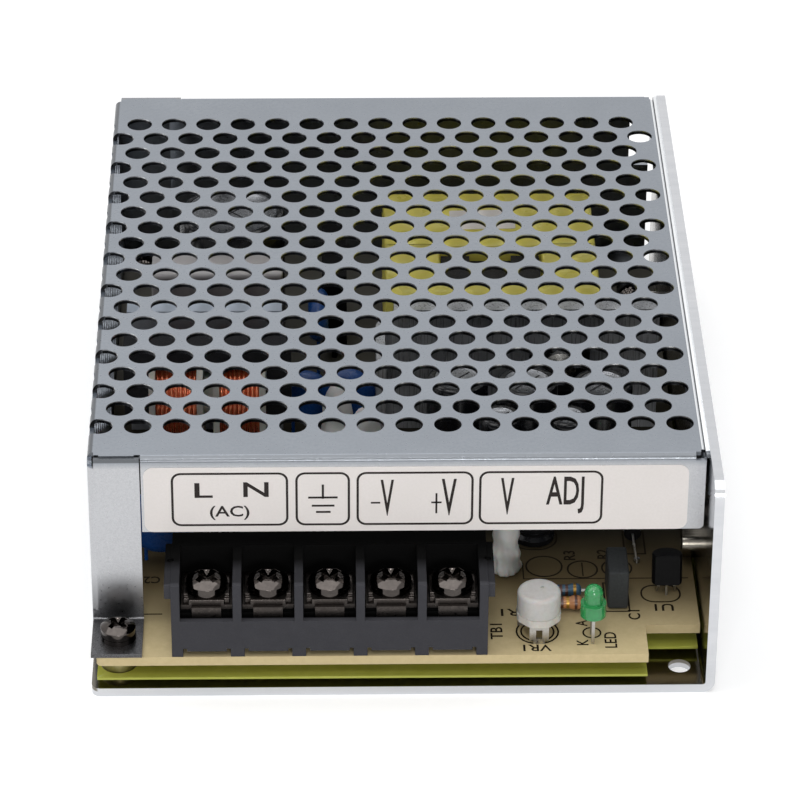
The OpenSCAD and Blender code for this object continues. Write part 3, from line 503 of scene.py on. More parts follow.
BLOCK = BlockFinish("block_moulding", srgb(72, 72, 76), srgb(64, 64, 68), 5200, 0, (0.5, 0.62), 0.12,
                    0.00002, specular=0.1, ior=1.12)
TIN = Finish("tinned_wire", srgb(190, 188, 184), srgb(160, 157, 152), 2600, 1, (0.25, 0.4), 0.1, 0.00001)
IVORY = SoftFinish("ivory_plastic", srgb(212, 209, 202), srgb(197, 193, 185), 1500, 0, (0.45, 0.6), 0.1,
                   0.00002, specular=0.2)
CAP_GREY = SoftFinish("cap_grey", srgb(204, 202, 199), srgb(188, 186, 182), 1600, 0, (0.4, 0.55), 0.12,
                      0.00002, specular=0.2)
LENS = ClearFinish("green_lens", srgb(70, 188, 112), srgb(54, 168, 98), 700, 0, (0.1, 0.18), 0.03, 0.00001,
                   coat=0.3, transmission=0.5, glow=0)
EPOXY = Finish("black_epoxy", srgb(18, 18, 19), srgb(12, 12, 13), 4200, 0, (0.4, 0.55), 0.2, 0.00002,
               specular=0.2, ior=1.25)
BOX_GREY = Finish("box_grey", srgb(62, 64, 65), srgb(52, 54, 55), 2600, 0, (0.4, 0.55), 0.12, 0.00002,
                  specular=0.2, ior=1.25)
SLEEVE = Finish("black_sleeve", srgb(24, 25, 29), srgb(18, 19, 22), 700, 0, (0.18, 0.3), 0.08, 0.00003,
                coat=0.2, specular=0.3)
CAN_TOP = Finish("can_top", srgb(150, 152, 156), srgb(126, 128, 132), 1400, 1, (0.22, 0.36), 0.12, 0.00002)
TAPE = Finish("yellow_tape", srgb(236, 226, 112), srgb(222, 208, 84), 260, 0, (0.22, 0.36), 0.12, 0.00004,
              grain=Grain.LAYERED, coat=0.2)
FERRITE = Finish("ferrite", srgb(40, 40, 43), srgb(28, 28, 31), 3200, 0.2, (0.5, 0.7), 0.3, 0.00003,
                 specular=0.25)
COPPER = Finish("enamelled_copper", srgb(226, 128, 86), srgb(196, 98, 60), 500, 0.7, (0.16, 0.26), 0.02,
                0.00001, coat=0.4)
BLUE = Finish("blue_lacquer", srgb(26, 80, 150), srgb(20, 60, 122), 1200, 0, (0.22, 0.36), 0.12, 0.00004,
              coat=0.2, specular=0.3)
# Painted light: the box's sides are a shaded grey copy of its cream, and its top above 28 mm is the lit
# cream.
CREAM = PaintedLightFinish("cream_box_painted_light", srgb(124, 118, 118), srgb(108, 102, 102), 1300, 0, (0.3, 0.45), 0.08,
                     0.00002, axis="Z", stages=((0.0280, 0.0286, srgb(204, 200, 200)),))
SILICONE = SoftFinish("white_silicone", srgb(228, 228, 226), srgb(208, 208, 206), 420, 0, (0.35, 0.5), 0.3,
                      0.0002, specular=0.3)
PAPER = Finish("label_paper", srgb(238, 232, 229), srgb(231, 225, 221), 2400, 0, (0.3, 0.4), 0.05, 0.00001,
               coat=0.1)
INK = Finish("label_ink", srgb(44, 36, 34), srgb(36, 30, 28), 5000, 0, (0.4, 0.5), 0.05, 0.00001,
             specular=0.2)
CERAMIC = Finish("glazed_ceramic", srgb(232, 226, 210), srgb(214, 206, 188), 1200, 0, (0.2, 0.32), 0.05,
                 0.00002, coat=0.3)
SOLDER = Finish("solder", srgb(196, 198, 200), srgb(160, 162, 164), 1500, 1, (0.18, 0.3), 0.15, 0.00003)
BAND_TAN = Finish("resistor_tan", srgb(186, 130, 88), srgb(168, 114, 74), 1500, 0, (0.25, 0.4), 0.06,
                  0.00002, coat=0.2, specular=0.25)
BAND_BLUE = Finish("resistor_blue", srgb(70, 104, 128), srgb(56, 88, 112), 1500, 0, (0.25, 0.4), 0.06,
                   0.00002, coat=0.2, specular=0.25)
BAND_BROWN = Finish("band_brown", srgb(84, 44, 28), srgb(68, 34, 22), 1500, 0, (0.3, 0.4), 0.05, 0.00002)
BAND_RED = Finish("band_red", srgb(150, 40, 32), srgb(130, 32, 26), 1500, 0, (0.3, 0.4), 0.05, 0.00002)
BAND_GOLD = Finish("band_gold", srgb(160, 124, 52), srgb(140, 106, 42), 1500, 0.6, (0.3, 0.4), 0.05,
                   0.00002)


# ---------------------------------------------------------------- mesh tools


def box_of(node: str) -> tuple[Vector, Vector]:
    """Gives a solid's lowest and highest corner, in metres."""
    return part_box(node)


def put_in_scene(name: str, data: bpy.types.ID | None) -> bpy.types.Object:
    """Makes an object of its data and puts it in the scene."""
    made = bpy.data.objects.new(name, data)
    bpy.context.scene.collection.objects.link(made)
    return made


def dress(nodes: Sequence[str], finish: Finish) -> None:
    """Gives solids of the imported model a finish.

    Args:
        nodes: Names of the solids.
        finish: The finish.
    """
    for name in nodes:
        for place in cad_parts[name].material_slots:
            place.material = finish.material()


def settle(name: str, mesh: Mesh, finishes: Sequence[Finish],
           stands_for: Sequence[str] = (), smooth: float = 35, body: str = CASE) -> bpy.types.Object:
    """Turns a bmesh into a finished piece of the object.

    Args:
        name: Name of the piece.
        mesh: The bmesh, which is freed.
        finishes: One finish for each material number in the mesh.
        stands_for: Solids that this piece is shown in place of.
        smooth: Angle in degrees under which two faces shade as one.
        body: Body that the piece moves with.

    Returns:
        The new object.
    """
    bmesh.ops.remove_doubles(mesh, verts=mesh.verts, dist=1e-7)
    bmesh.ops.recalc_face_normals(mesh, faces=mesh.faces)
    data = bpy.data.meshes.new(name)
    mesh.to_mesh(data)
    mesh.free()
    for finish in finishes:
        data.materials.append(finish.material())
    data.shade_smooth()
    data.set_sharp_from_angle(angle=math.radians(smooth))
    piece = put_in_scene(name, data)
    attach(piece, body)
    if stands_for:
        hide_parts(*stands_for)
    log.info("%s: %d faces", name, len(data.polygons))
    return piece


def mark(verts: Sequence[bmesh.types.BMVert], number: int) -> list[bmesh.types.BMFace]:
    """Gives the faces round some corners a material number.

    Args:
        verts: The corners.
        number: The material number.

    Returns:
        The faces.
    """
    faces = list({face for vert in verts for face in vert.link_faces})
    for face in faces:
        face.material_index = number
    return faces


def rounded_box(mesh: Mesh, low: Point, high: Point, radius: float = 0,
                segments: int = 2) -> None:
    """Adds a box with rounded edges.

    Args:
        mesh: The bmesh to add to.
        low: Lowest corner.
        high: Highest corner.
        radius: Radius of the edges.
        segments: Steps round an edge.
    """
    size = Vector(high) - Vector(low)
    place = Matrix.Translation((Vector(low) + Vector(high)) / 2) @ Matrix.Diagonal((*size, 1))
    verts = bmesh.ops.create_cube(mesh, size=1, matrix=place)["verts"]
    edges = {edge for vert in verts for edge in vert.link_edges}
    if radius > 0:
        bmesh.ops.bevel(mesh, geom=list(edges), offset=radius, offset_type="OFFSET", segments=segments,
                        profile=0.5, affect="EDGES", material=-1, clamp_overlap=True)


def turned(mesh: Mesh, profile: Sequence[tuple[float, float]], centre: Point,
           axis: str = "Z", steps: int = 32, number: int = 0) -> None:
    """Adds a solid of revolution.

    Args:
        mesh: The bmesh to add to.
        profile: Radius and height of each corner, from the bottom up.
        centre: Foot of the axis.
        axis: Direction of the axis, X, Y or Z.
        steps: Number of steps round.
        number: Material number.
    """
    turn = {"Z": Matrix.Identity(4), "X": Matrix.Rotation(math.pi / 2, 4, "Y"),
            "Y": Matrix.Rotation(-math.pi / 2, 4, "X")}[axis]
    place = Matrix.Translation(centre) @ turn
    verts = [mesh.verts.new((r, 0, z)) for r, z in profile]
    edges = [mesh.edges.new(pair) for pair in zip(verts, verts[1:])]
    before = set(mesh.faces)
    bmesh.ops.spin(mesh, geom=verts + edges, cent=(0, 0, 0), axis=(0, 0, 1), angle=2 * math.pi,
                   steps=steps, use_merge=True, use_duplicate=False)
    made = [face for face in mesh.faces if face not in before]
    corners = list({vert for face in made for vert in face.verts})
    for face in made:
        face.material_index = number
    bmesh.ops.transform(mesh, matrix=place, verts=corners)
    bmesh.ops.remove_doubles(mesh, verts=corners, dist=1e-7)


def rod(mesh: Mesh, start: Point, end: Point, radius: float, steps: int = 10,
        number: int = 1, tip: float | None = None) -> None:
    """Adds a straight round rod, or a cone.

    Args:
        mesh: The bmesh to add to.
        start: Middle of one end.
        end: Middle of the other end.
        radius: Radius at the start.
        steps: Number of sides.
        number: Material number.
        tip: Radius at the end, where it differs.
    """
    along = Vector(end) - Vector(start)
    turn = Vector((0, 0, 1)).rotation_difference(along).to_matrix().to_4x4()
    place = Matrix.Translation((Vector(start) + Vector(end)) / 2) @ turn
    made = bmesh.ops.create_cone(mesh, cap_ends=True, segments=steps, radius1=radius,
                                 radius2=radius if tip is None else tip, depth=along.length, matrix=place)
    mark(made["verts"], number)


def cut_front(mesh: Mesh, at: float) -> None:
    """Cuts away what lies in front of a level plane across Y, and closes the cut.

    Args:
        mesh: The bmesh to cut.
        at: Where the plane crosses Y.
    """
    bmesh.ops.bisect_plane(mesh, geom=[*mesh.verts, *mesh.edges, *mesh.faces], plane_co=(0, at, 0),
                           plane_no=(0, -1, 0), clear_outer=True)
    bmesh.ops.holes_fill(mesh, edges=[edge for edge in mesh.edges if edge.is_boundary])


def flat_shape(mesh: Mesh, width: float, height: float, corner: float, thick: float,
               place: Matrix, line: float = 0, number: int = 0) -> None:
    """Adds a thin rounded rectangle, or only its outline.

    Args:
        mesh: The bmesh to add to.
        width: Width along the shape's own X.
        height: Height along the shape's own Y.
        corner: Radius of the corners.
        thick: Thickness along the shape's own Z.
        place: Where the middle of its back goes.
        line: Width of the outline, or 0 for a full shape.
        number: Material number.
    """
    made = bmesh.ops.create_grid(mesh, x_segments=1, y_segments=1, size=0.5,
                                 matrix=Matrix.Diagonal((width, height, 1, 1)))["verts"]
    if corner > 0:
        bmesh.ops.bevel(mesh, geom=made, offset=corner, offset_type="OFFSET", segments=6, profile=0.5,
                        affect="VERTICES", material=-1, clamp_overlap=True)
    top = [face for face in mesh.faces if face.tag is False and not face.hide][-1]
    if line > 0:
        bmesh.ops.inset_region(mesh, faces=[top], thickness=line, depth=0, use_even_offset=True,
                                 use_boundary=True)
        ring = [face for face in mesh.faces if face != top and not face.hide
                and any(vert in top.verts for vert in face.verts)]
        bmesh.ops.delete(mesh, geom=[top], context="FACES_ONLY")
    else:
        ring = [top]
    raised = bmesh.ops.extrude_face_region(mesh, geom=ring, use_keep_orig=True)["geom"]
    lifted = [part for part in raised if isinstance(part, bmesh.types.BMVert)]
    bmesh.ops.translate(mesh, vec=(0, 0, thick), verts=lifted)
    corners = list({vert for face in ring for vert in face.verts} | set(lifted))
    for face in mark(corners, number):
        face.hide = True
    bmesh.ops.transform(mesh, matrix=place, verts=corners)


def lettering(mesh: Mesh, words: str, width: float, height: float, thick: float,
              place: Matrix) -> None:
    """Adds words that fill a given width and height.

    Args:
        mesh: The bmesh to add to.
        words: The words.
        width: Width of the words.
        height: Height of the words.
        thick: Thickness of the words.
        place: Where the middle of their back goes.
    """
    curve = bpy.data.curves.new("words", "FONT")
    curve.body = words
    curve.resolution_u = 3
    curve.extrude = 0.05
    curve.offset = 0.012
    holder = put_in_scene("words", curve)
    bpy.context.view_layer.update()
    shape = holder.evaluated_get(bpy.context.evaluated_depsgraph_get()).to_mesh()
    low = Vector(min(v.co[k] for v in shape.vertices) for k in range(3))
    high = Vector(max(v.co[k] for v in shape.vertices) for k in range(3))
    size = high - low
    scale = Matrix.Diagonal((width / size.x, height / size.y, thick / size.z, 1))
    middle = Vector(((low.x + high.x) / 2, (low.y + high.y) / 2, low.z))
    shape.transform(place @ scale @ Matrix.Translation(-middle))
    mesh.from_mesh(shape)
    holder.to_mesh_clear()
    bpy.data.objects.remove(holder)
    bpy.data.curves.remove(curve)
    mesh.faces.ensure_lookup_table()
    for face in mesh.faces:
        face.hide = True


def softened(name: str, node: str, finish: Finish, width: float, body: str = CASE,
             angle: float = 32) -> None:
    """Shows a solid with its sharp edges rounded off.

    Args:
        name: Name of the new piece.
        node: Solid that it stands for.
        finish: Its finish.
        width: Width of the rounding.
        body: Body that it moves with.
        angle: Least angle of an edge that is rounded, in degrees.
    """
    mesh = bmesh.new()
    mesh.from_mesh(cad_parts[node].data)
    bmesh.ops.remove_doubles(mesh, verts=mesh.verts, dist=1e-6)
    bmesh.ops.dissolve_limit(mesh, angle_limit=math.radians(1), verts=mesh.verts, edges=mesh.edges)
    piece = settle(name, mesh, [finish], [node], angle, body)
    edge = piece.modifiers.new("edges", "BEVEL")
    edge.width = width
    edge.segments = 2
    edge.limit_method = "ANGLE"
    edge.angle_limit = math.radians(angle)
    edge.harden_normals = True


def upright(x: float, y: float, z: float) -> Matrix:
    """Places a flat shape on a face that looks towards -Y, at a point in metres."""
    return Matrix.Translation((x, y, z)) @ Matrix.Rotation(math.pi / 2, 4, "X")


def lying(x: float, y: float, z: float, turn: float = 0) -> Matrix:
    """Places a flat shape on a level face, at a point in metres, turned in degrees."""
    return Matrix.Translation((x, y, z)) @ Matrix.Rotation(math.radians(turn), 4, "Z")


# ---------------------------------------------------------------- enclosure


@dataclass
class Enclosure:
    """Chassis, perforated cover, film, their screws, and the label on the front strip.

    The label's marks are given in millimetres: left, right, bottom and top.
    """

    label_margin: tuple[float, float] = (0.35 * MM, 2.6 * MM)
    label_top: float = 1.75 * MM
    label_thick: float = 0.1 * MM
    label_low: float = 24.03 * MM
    leg: float = 8.25 * MM
    strip_at: float = 9.7 * MM
    ink_thick: float = 0.02 * MM
    line: float = 0.36 * MM
    screw_edge: float = 0.07 * MM
    film_rise: float = 1.0 * MM
    sheet: float = 0.7 * MM
    seam_at: float = 11.6 * MM
    roll: float = 0.6 * MM
    film_setback: float = 0.7 * MM
    frames: tuple[tuple[float, float], ...] = (
        (-35.7, -17.7), (-16.6, -8.2), (-7.2, 10.8), (11.65, 30.75))
    frame_z: tuple[float, float] = (25.1, 34.85)
    words: tuple[tuple[str, float, float, float, float], ...] = (
        ("L", -32.1, -29.3, 30.3, 33.0), ("N", -24.6, -20.7, 30.4, 33.1),
        ("(AC)", -29.8, -23.7, 26.2, 28.8), ("V", -3.5, -1.45, 26.8, 33.4),
        ("V", 5.9, 8.2, 26.8, 33.5), ("V", 15.0, 17.05, 26.9, 33.6), ("ADJ", 22.0, 27.85, 27.0, 33.8))
    bars: tuple[tuple[float, float, float, float], ...] = (
        (-12.55, -12.2, 30.0, 32.6), (-14.65, -10.1, 30.05, 30.4), (-14.1, -10.6, 28.55, 28.9),
        (-13.45, -11.2, 27.4, 27.75), (-5.0, -3.55, 29.05, 29.35), (4.3, 5.9, 29.05, 29.35),
        (4.95, 5.25, 27.2, 30.9))

    def dress_solids(self) -> None:
        """Gives the folded sheets, the standoffs and the board's screws their finishes."""
        dress(["chassis"], CHASSIS)
        dress(["cover"], ZINC)
        dress(["board_standoffs"], BRASS)
        dress(["board_screws", "foot_washer"], NICKEL)

    def build_film(self) -> None:
        """Builds the film as it lies, a little up and back from its solid."""
        film = bmesh.new()
        film.from_mesh(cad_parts["insulation_film"].data)
        bmesh.ops.remove_doubles(film, verts=film.verts, dist=1e-6)
        cut_front(film, box_of("insulation_film")[0].y + self.film_setback)
        bmesh.ops.translate(film, vec=(0, 0, self.film_rise), verts=film.verts)
        settle("insulation_sheet", film, [FILM], ["insulation_film"])

    def build_screws(self) -> None:
        """Shows the screws that hold the board's foot and the cover."""
        softened("foot_screw_turned", "foot_screw", NICKEL, self.screw_edge)
        softened("cover_screws_turned", "cover_screws", NICKEL, self.screw_edge)

    def build_back_lap(self) -> None:
        """Builds the narrow lap that closes the seam of the back from inside."""
        low, high = box_of("cover")
        seam = low.x + self.seam_at
        inner = high.y - self.sheet - 0.02 * MM
        mesh = bmesh.new()
        rounded_box(mesh, (seam - 2.2 * MM, inner - 0.4 * MM, low.z + 7.5 * MM),
                    (seam + 2.2 * MM, inner, high.z - 1.4 * MM), 0.1 * MM)
        settle("back_seam_lap", mesh, [ZINC])

    def build_side_roll(self) -> None:
        """Builds the rolled edge where the cover's top turns down beside the wall."""
        low, high = box_of("cover")
        mesh = bmesh.new()
        rounded_box(mesh, (high.x - 0.35 * MM, low.y + 10.2 * MM, high.z - 1.05 * MM),
                    (high.x + self.roll, high.y - 0.4 * MM, high.z - 0.06 * MM), 0.3 * MM, 4)
        settle("cover_side_roll", mesh, [ZINC])

    def build_label(self) -> None:
        """Builds the paper label on the front strip and the marks printed on it."""
        low, high = box_of("cover")
        face_y = low.y + self.strip_at
        x0 = low.x + self.leg + self.label_margin[0]
        x1 = high.x - 0.2 * MM - self.label_margin[1]
        z0, z1 = self.label_low, high.z - self.label_top
        sheet = bmesh.new()
        flat_shape(sheet, x1 - x0, z1 - z0, 1.5 * MM, self.label_thick,
                   upright((x0 + x1) / 2, face_y, (z0 + z1) / 2))
        settle("front_label", sheet, [PAPER])
        ink = bmesh.new()
        face_y -= self.label_thick
        marks = [("frame", a, b, *self.frame_z) for a, b in self.frames]
        marks += [("bar", *bar) for bar in self.bars] + list(self.words)
        for words, a, b, c, d in marks:
            place = upright((a + b) / 2 * MM, face_y, (c + d) / 2 * MM)
            width, height = (b - a) * MM, (d - c) * MM
            if words == "frame":
                flat_shape(ink, width, height, 1.5 * MM, self.ink_thick, place, self.line)
            elif words == "bar":
                flat_shape(ink, width, height, 0, self.ink_thick, place)
            else:
                lettering(ink, words, width, height, self.ink_thick, place)
        settle("label_marks", ink, [INK])

# ---------------------------------------------------------------- terminals


@dataclass
class TerminalRow:
    """The terminal block with its contacts, clamp plates and screws."""

    ways: int = 5
    block_edge: float = 0.15 * MM
    plate_edge: float = 0.09 * MM
    screw_edge: float = 0.07 * MM

    def build(self) -> None:
        """Shows the block and its metal parts with their edges rounded off."""
        softened("terminal_block_moulding", "terminal_block", BLOCK, self.block_edge)
        for i in range(1, self.ways + 1):
            dress([f"terminal_contact_{i}"], CONTACT)
            softened(f"clamp_plate_{i}_stamping", f"clamp_plate_{i}", CONTACT,
                     self.plate_edge, f"clamp_{i}")
            softened(f"terminal_screw_{i}_turned", f"terminal_screw_{i}", NICKEL,
                     self.screw_edge, f"screw_{i}")


# ---------------------------------------------------------------- front parts


@dataclass
class FrontParts:
    """The trimmer, the lamp and the small parts to the right of the terminals."""

    lean: float = 12.0
    diode_r: float = 1.35 * MM
    diode_at: tuple[float, float] = (37.8 * MM, -38.7 * MM)
    wire_r: float = 0.22 * MM

    def dress_solids(self) -> None:
        """Gives the small parts their finishes."""
        dress(["trimmer_base"], IVORY)
        dress(["trimmer_legs", "lamp_leads"], TIN)
        dress(["trimmer_cap"], CAP_GREY)
        dress(["lamp_lens"], LENS)

    def build_box_capacitor(self) -> None:
        """Builds the small box-shaped capacitor with its rounded edges."""
        low, high = box_of("film_capacitor")
        mesh = bmesh.new()
        rounded_box(mesh, low + Vector((0, 0, 0.3 * MM)), high, 0.35 * MM, 3)
        for share in (0.25, 0.75):
            x, y = (low.x + high.x) / 2, low.y + (high.y - low.y) * share
            rod(mesh, (x, y, low.z), (x, y, low.z + 0.5 * MM), 0.3 * MM)
        settle("box_capacitor", mesh, [BOX_GREY, TIN], ["film_capacitor"])

    def resistor(self, centre: Vector, radius: float, foot: float, bands: Sequence[int]) -> Mesh:
        """Makes one resistor lying along X with its wires bent down.

        Args:
            centre: Middle of the body.
            radius: Largest radius of the body.
            foot: Height at which the wires end.
            bands: Material number of each band, from the left.

        Returns:
            Its bmesh.
        """
        mesh = bmesh.new()
        length, span = 6.4 * MM, 9 * MM
        waist = 0.84 * radius
        shape = [(0.0, 0.0), (0.6 * radius, 0.0), (0.92 * radius, 0.05), (radius, 0.11), (radius, 0.22),
                 (waist, 0.3), (waist, 0.7), (radius, 0.78), (radius, 0.89), (0.92 * radius, 0.95),
                 (0.6 * radius, 1.0), (0.0, 1.0)]
        start = centre - Vector((length / 2, 0, 0))
        turned(mesh, [(r, t * length) for r, t in shape], start, "X", 24, 0)
        for number, share in zip(bands, (0.16, 0.36, 0.5, 0.64, 0.84)):
            r = (radius if share in (0.16, 0.84) else waist) + 0.02 * MM
            a, b = (share - 0.035) * length, (share + 0.035) * length
            turned(mesh, [(r - 0.1 * MM, a), (r, a), (r, b), (r - 0.1 * MM, b)], start, "X", 24, number)
        for side in (-1, 1):
            tip = centre + Vector((side * span / 2, 0, 0))
            rod(mesh, centre + Vector((side * length / 2.05, 0, 0)), tip, 0.28 * MM)
            rod(mesh, tip + Vector((0, 0, 0.28 * MM)), (tip.x, tip.y, foot), 0.28 * MM)
            rod(mesh, (tip.x, tip.y, foot), (tip.x, tip.y, foot + 0.4 * MM), 0.8 * MM, 12, 1, 0.3 * MM)
        return mesh

    def build_resistors(self) -> None:
        """Builds the two resistors with their colour bands."""
        low, high = box_of("front_resistors")
        x = (low.x + high.x) / 2
        metals = [TIN, BAND_BROWN, BAND_RED, BAND_GOLD]
        centre = Vector((x, low.y + 1.15 * MM, low.z + 1.5 * MM))
        mesh = self.resistor(centre, 1.15 * MM, low.z, (2, 3, 2, 4, 2))
        settle("resistor_tan_body", mesh, [BAND_TAN, *metals], ["front_resistors"])
        centre = Vector((x, high.y - 1.1 * MM, low.z + 1.4 * MM))
        mesh = self.resistor(centre, 1.1 * MM, low.z, (2, 3, 2, 2, 4))
        settle("resistor_blue_body", mesh, [BAND_BLUE, *metals])

    def lump(self, mesh: Mesh, foot: Vector, radius: float, height: float) -> None:
        """Adds one upright lump of silicone with ribs where it was squeezed out.

        Args:
            mesh: The bmesh to add to.
            foot: Middle of its foot.
            radius: Largest radius.
            height: Height of the lump.
        """
        share = ((0, 0), (0.86, 0), (1.0, 0.04), (1.0, 0.1), (0.78, 0.16), (0.98, 0.22), (0.96, 0.28),
                 (0.74, 0.34), (0.92, 0.42), (0.86, 0.5), (0.66, 0.58), (0.8, 0.66), (0.72, 0.76),
                 (0.6, 0.86), (0.4, 0.95), (0, 1))
        before = set(mesh.verts)
        turned(mesh, [(r * radius, t * height) for r, t in share], foot, "Z", 48)
        for vert in [vert for vert in mesh.verts if vert not in before]:
            rise = (vert.co.z - foot.z) / height
            if 0.02 < rise < 0.98:
                turn = math.atan2(vert.co.y - foot.y, vert.co.x - foot.x)
                wave = (0.08 * math.sin(3 * turn + 900 * vert.co.z)
                        + 0.05 * math.sin(7 * turn - 2300 * vert.co.z)
                        + 0.11 * max(0.0, 1 - rise / 0.5) * math.sin(12 * turn + 14 * rise))
                vert.co.x += (vert.co.x - foot.x) * wave
                vert.co.y += (vert.co.y - foot.y) * wave

    def build_silicone(self) -> None:
        """Builds the bead by the terminals and the two lumps at the heatsink."""
        low, high = box_of("silicone_bead")
        block_high = box_of("terminal_block")[1]
        sink_low = box_of("right_heatsink")[0]
        mesh = bmesh.new()
        self.lump(mesh, Vector((block_high.x + 2.7 * MM, low.y + 2.6 * MM, low.z)), 2.4 * MM, high.z - low.z)
        self.lump(mesh, Vector((sink_low.x - 6.3 * MM, high.y - 2.7 * MM, low.z)), 3.2 * MM, 16.5 * MM)
        self.lump(mesh, Vector((sink_low.x - 1.8 * MM, high.y - 7.1 * MM, low.z)), 3.3 * MM, 14.5 * MM)
        piece = settle("silicone_lumps", mesh, [SILICONE], ["silicone_bead"], 80)
        smooth = piece.modifiers.new("smooth", "SUBSURF")
        smooth.levels = smooth.render_levels = 1

    def build_diode(self) -> None:
        """Builds the diode lying behind the box capacitor, its wire bent down at the front."""
        top = box_of("circuit_board")[1].z
        x, y = self.diode_at
        z = top + self.diode_r + 1.6 * MM
        r = self.diode_r
        mesh = bmesh.new()
        body = 5.05 * MM
        turned(mesh, [(0, 0), (r - 0.15 * MM, 0), (r, 0.15 * MM), (r, body - 0.15 * MM),
                      (r - 0.15 * MM, body), (0, body)], (x - 0.5 * MM, y + 3.6 * MM, z), "Y", 24, 0)
        front = Vector((x - 0.5 * MM, y + 0.6 * MM, z))
        back = front + Vector((0, 7.9 * MM, 0))
        foot = (back.x, back.y + 1.5 * MM, top)
        for start, end in ((front + Vector((0, 3.4 * MM, 0)), front),
                           (front + Vector((0, 0.15 * MM, 0.1 * MM)), (x, y, top)),
                           (back, back + Vector((0, 1.6 * MM, 0))),
                           (back + Vector((0, 1.5 * MM, 0.1 * MM)), foot)):
            rod(mesh, start, end, self.wire_r)
        rod(mesh, (x, y, top), (x, y + 0.1 * MM, top + 0.7 * MM), 0.5 * MM, 12, 2)
        settle("diode_axial", mesh, [EPOXY, TIN, SOLDER])

    def build_regulator(self) -> None:
        """Builds the small regulator, leaning back on its splayed wires."""
        low, high = box_of("regulator_body")
        lead_low = box_of("regulator_leads")[0]
        middle = Vector(((low.x + high.x) / 2, lead_low.y + 0.2 * MM, low.z))
        mesh = bmesh.new()
        turned(mesh, [(0, 0), (2.25 * MM, 0), (2.4 * MM, 0.15 * MM), (2.4 * MM, 4.75 * MM),
                      (2.25 * MM, 4.95 * MM), (0, 4.95 * MM)], (0, 0, 0), "Z", 36)
        cut_front(mesh, -1.4 * MM)
        lean = Matrix.Rotation(math.radians(-self.lean), 4, "X")
        bmesh.ops.transform(mesh, matrix=Matrix.Translation(middle) @ lean, verts=mesh.verts)
        for side in (-1, 0, 1):
            top = middle + lean @ Vector((side * 1.27 * MM, -0.2 * MM, 0.6 * MM))
            bend = Vector((middle.x + side * 1.27 * MM, middle.y - 0.2 * MM, low.z - 0.5 * MM))
            foot = Vector((middle.x + side * 1.45 * MM, middle.y + (0.7 if side else -0.5) * MM, lead_low.z))
            rod(mesh, top, bend, self.wire_r, 8)
            rod(mesh, bend, foot, self.wire_r, 8)
        settle("regulator_package", mesh, [EPOXY, TIN],
               ["regulator_body", "regulator_leads"])


# ---------------------------------------------------------------- board


@dataclass
class PrintedBoard:
    """The bare board and what is printed on it.

    In millimetres: rings are X, Y and radius, strokes two corners, and words X, Y, width
    and height, with their turn in degrees.
    """

    ink_thick: float = 0.03 * MM
    line: float = 0.28 * MM
    rings: tuple[tuple[float, float, float], ...] = (
        (29.5, -58.3, 1.5), (21.0, -57.9, 3.4), (21.0, -57.9, 2.7), (29.0, -40.7, 2.5), (34.5, -40.4, 2.5),
        (22.9, -39.8, 3.0))
    strokes: tuple[tuple[float, float, float, float], ...] = (
        (-43.0, -52.55, -37.7, -52.3),
        (19.5, -43.4, 45.7, -43.2), (19.4, -43.3, 19.6, -38.8), (28.9, -42.6, 29.1, -38.8))
    ovals: tuple[tuple[float, ...], ...] = ((41, -47.65, 6.4, 4.9, 2.2), (37.7, -33.2, 3.6, 6.6, 0))
    words: tuple[tuple[str, float, float, float, float, float], ...] = (
        ("TB1", 14.6, -57.8, 4.2, 1.9, 90), ("VR1", 20.8, -62.3, 4.4, 1.7, 180),
        ("K", 27.9, -60.9, 1.5, 1.8, 90), ("A", 28.0, -55.7, 1.6, 1.8, 90),
        ("LED", 32.3, -60.3, 4.2, 1.9, 90), ("C1", 36.45, -53.5, 2.6, 1.9, 90),
        ("U1", 41.3, -51.5, 3.0, 1.9, 180), ("R1", 16.9, -52.6, 2.8, 1.9, 180),
        ("R2", 32.5, -36.4, 2.6, 1.9, 90), ("R3", 27.1, -36.7, 2.6, 1.9, 90),
        ("C2", -39.6, -42.9, 2.6, 1.9, 180))

    def build(self) -> None:
        """Prints an outline round each part, and the marks at the front."""
        dress(["circuit_board"], BOARD)
        top = box_of("circuit_board")[1].z
        mesh = bmesh.new()
        for node, margin, corner in (("film_capacitor", 0.4, 0.1), ("small_capacitor", 0.5, 3.4),
                                     ("output_capacitor_3", 0.5, 4.9), ("transformer_bobbin", 0.8, 0.2),
                                     ("choke_bobbin", 0.8, 0.2), ("line_capacitor", 0.8, 0.2)):
            low, high = box_of(node)
            width, height, _ = high - low
            flat_shape(mesh, width + 2 * margin * MM, height + 2 * margin * MM, corner * MM, self.ink_thick,
                       lying(*((low + high) / 2).xy, top), self.line)
        rings = tuple((x, y, 2 * r, 2 * r, 0.98 * r) for x, y, r in self.rings)
        for x, y, width, height, corner in rings + self.ovals:
            flat_shape(mesh, width * MM, height * MM, corner * MM, self.ink_thick,
                       lying(x * MM, y * MM, top), self.line)
        for x0, y0, x1, y1 in self.strokes:
            flat_shape(mesh, (x1 - x0) * MM, (y1 - y0) * MM, 0, self.ink_thick,
                       lying((x0 + x1) / 2 * MM, (y0 + y1) / 2 * MM, top))
        settle("board_outlines", mesh, [SILK])
        mesh = bmesh.new()
        for words, x, y, width, height, turn in self.words:
            lettering(mesh, words, width * MM, height * MM, self.ink_thick, lying(x * MM, y * MM, top, turn))
        settle("board_lettering", mesh, [SILK])


# ---------------------------------------------------------------- power parts


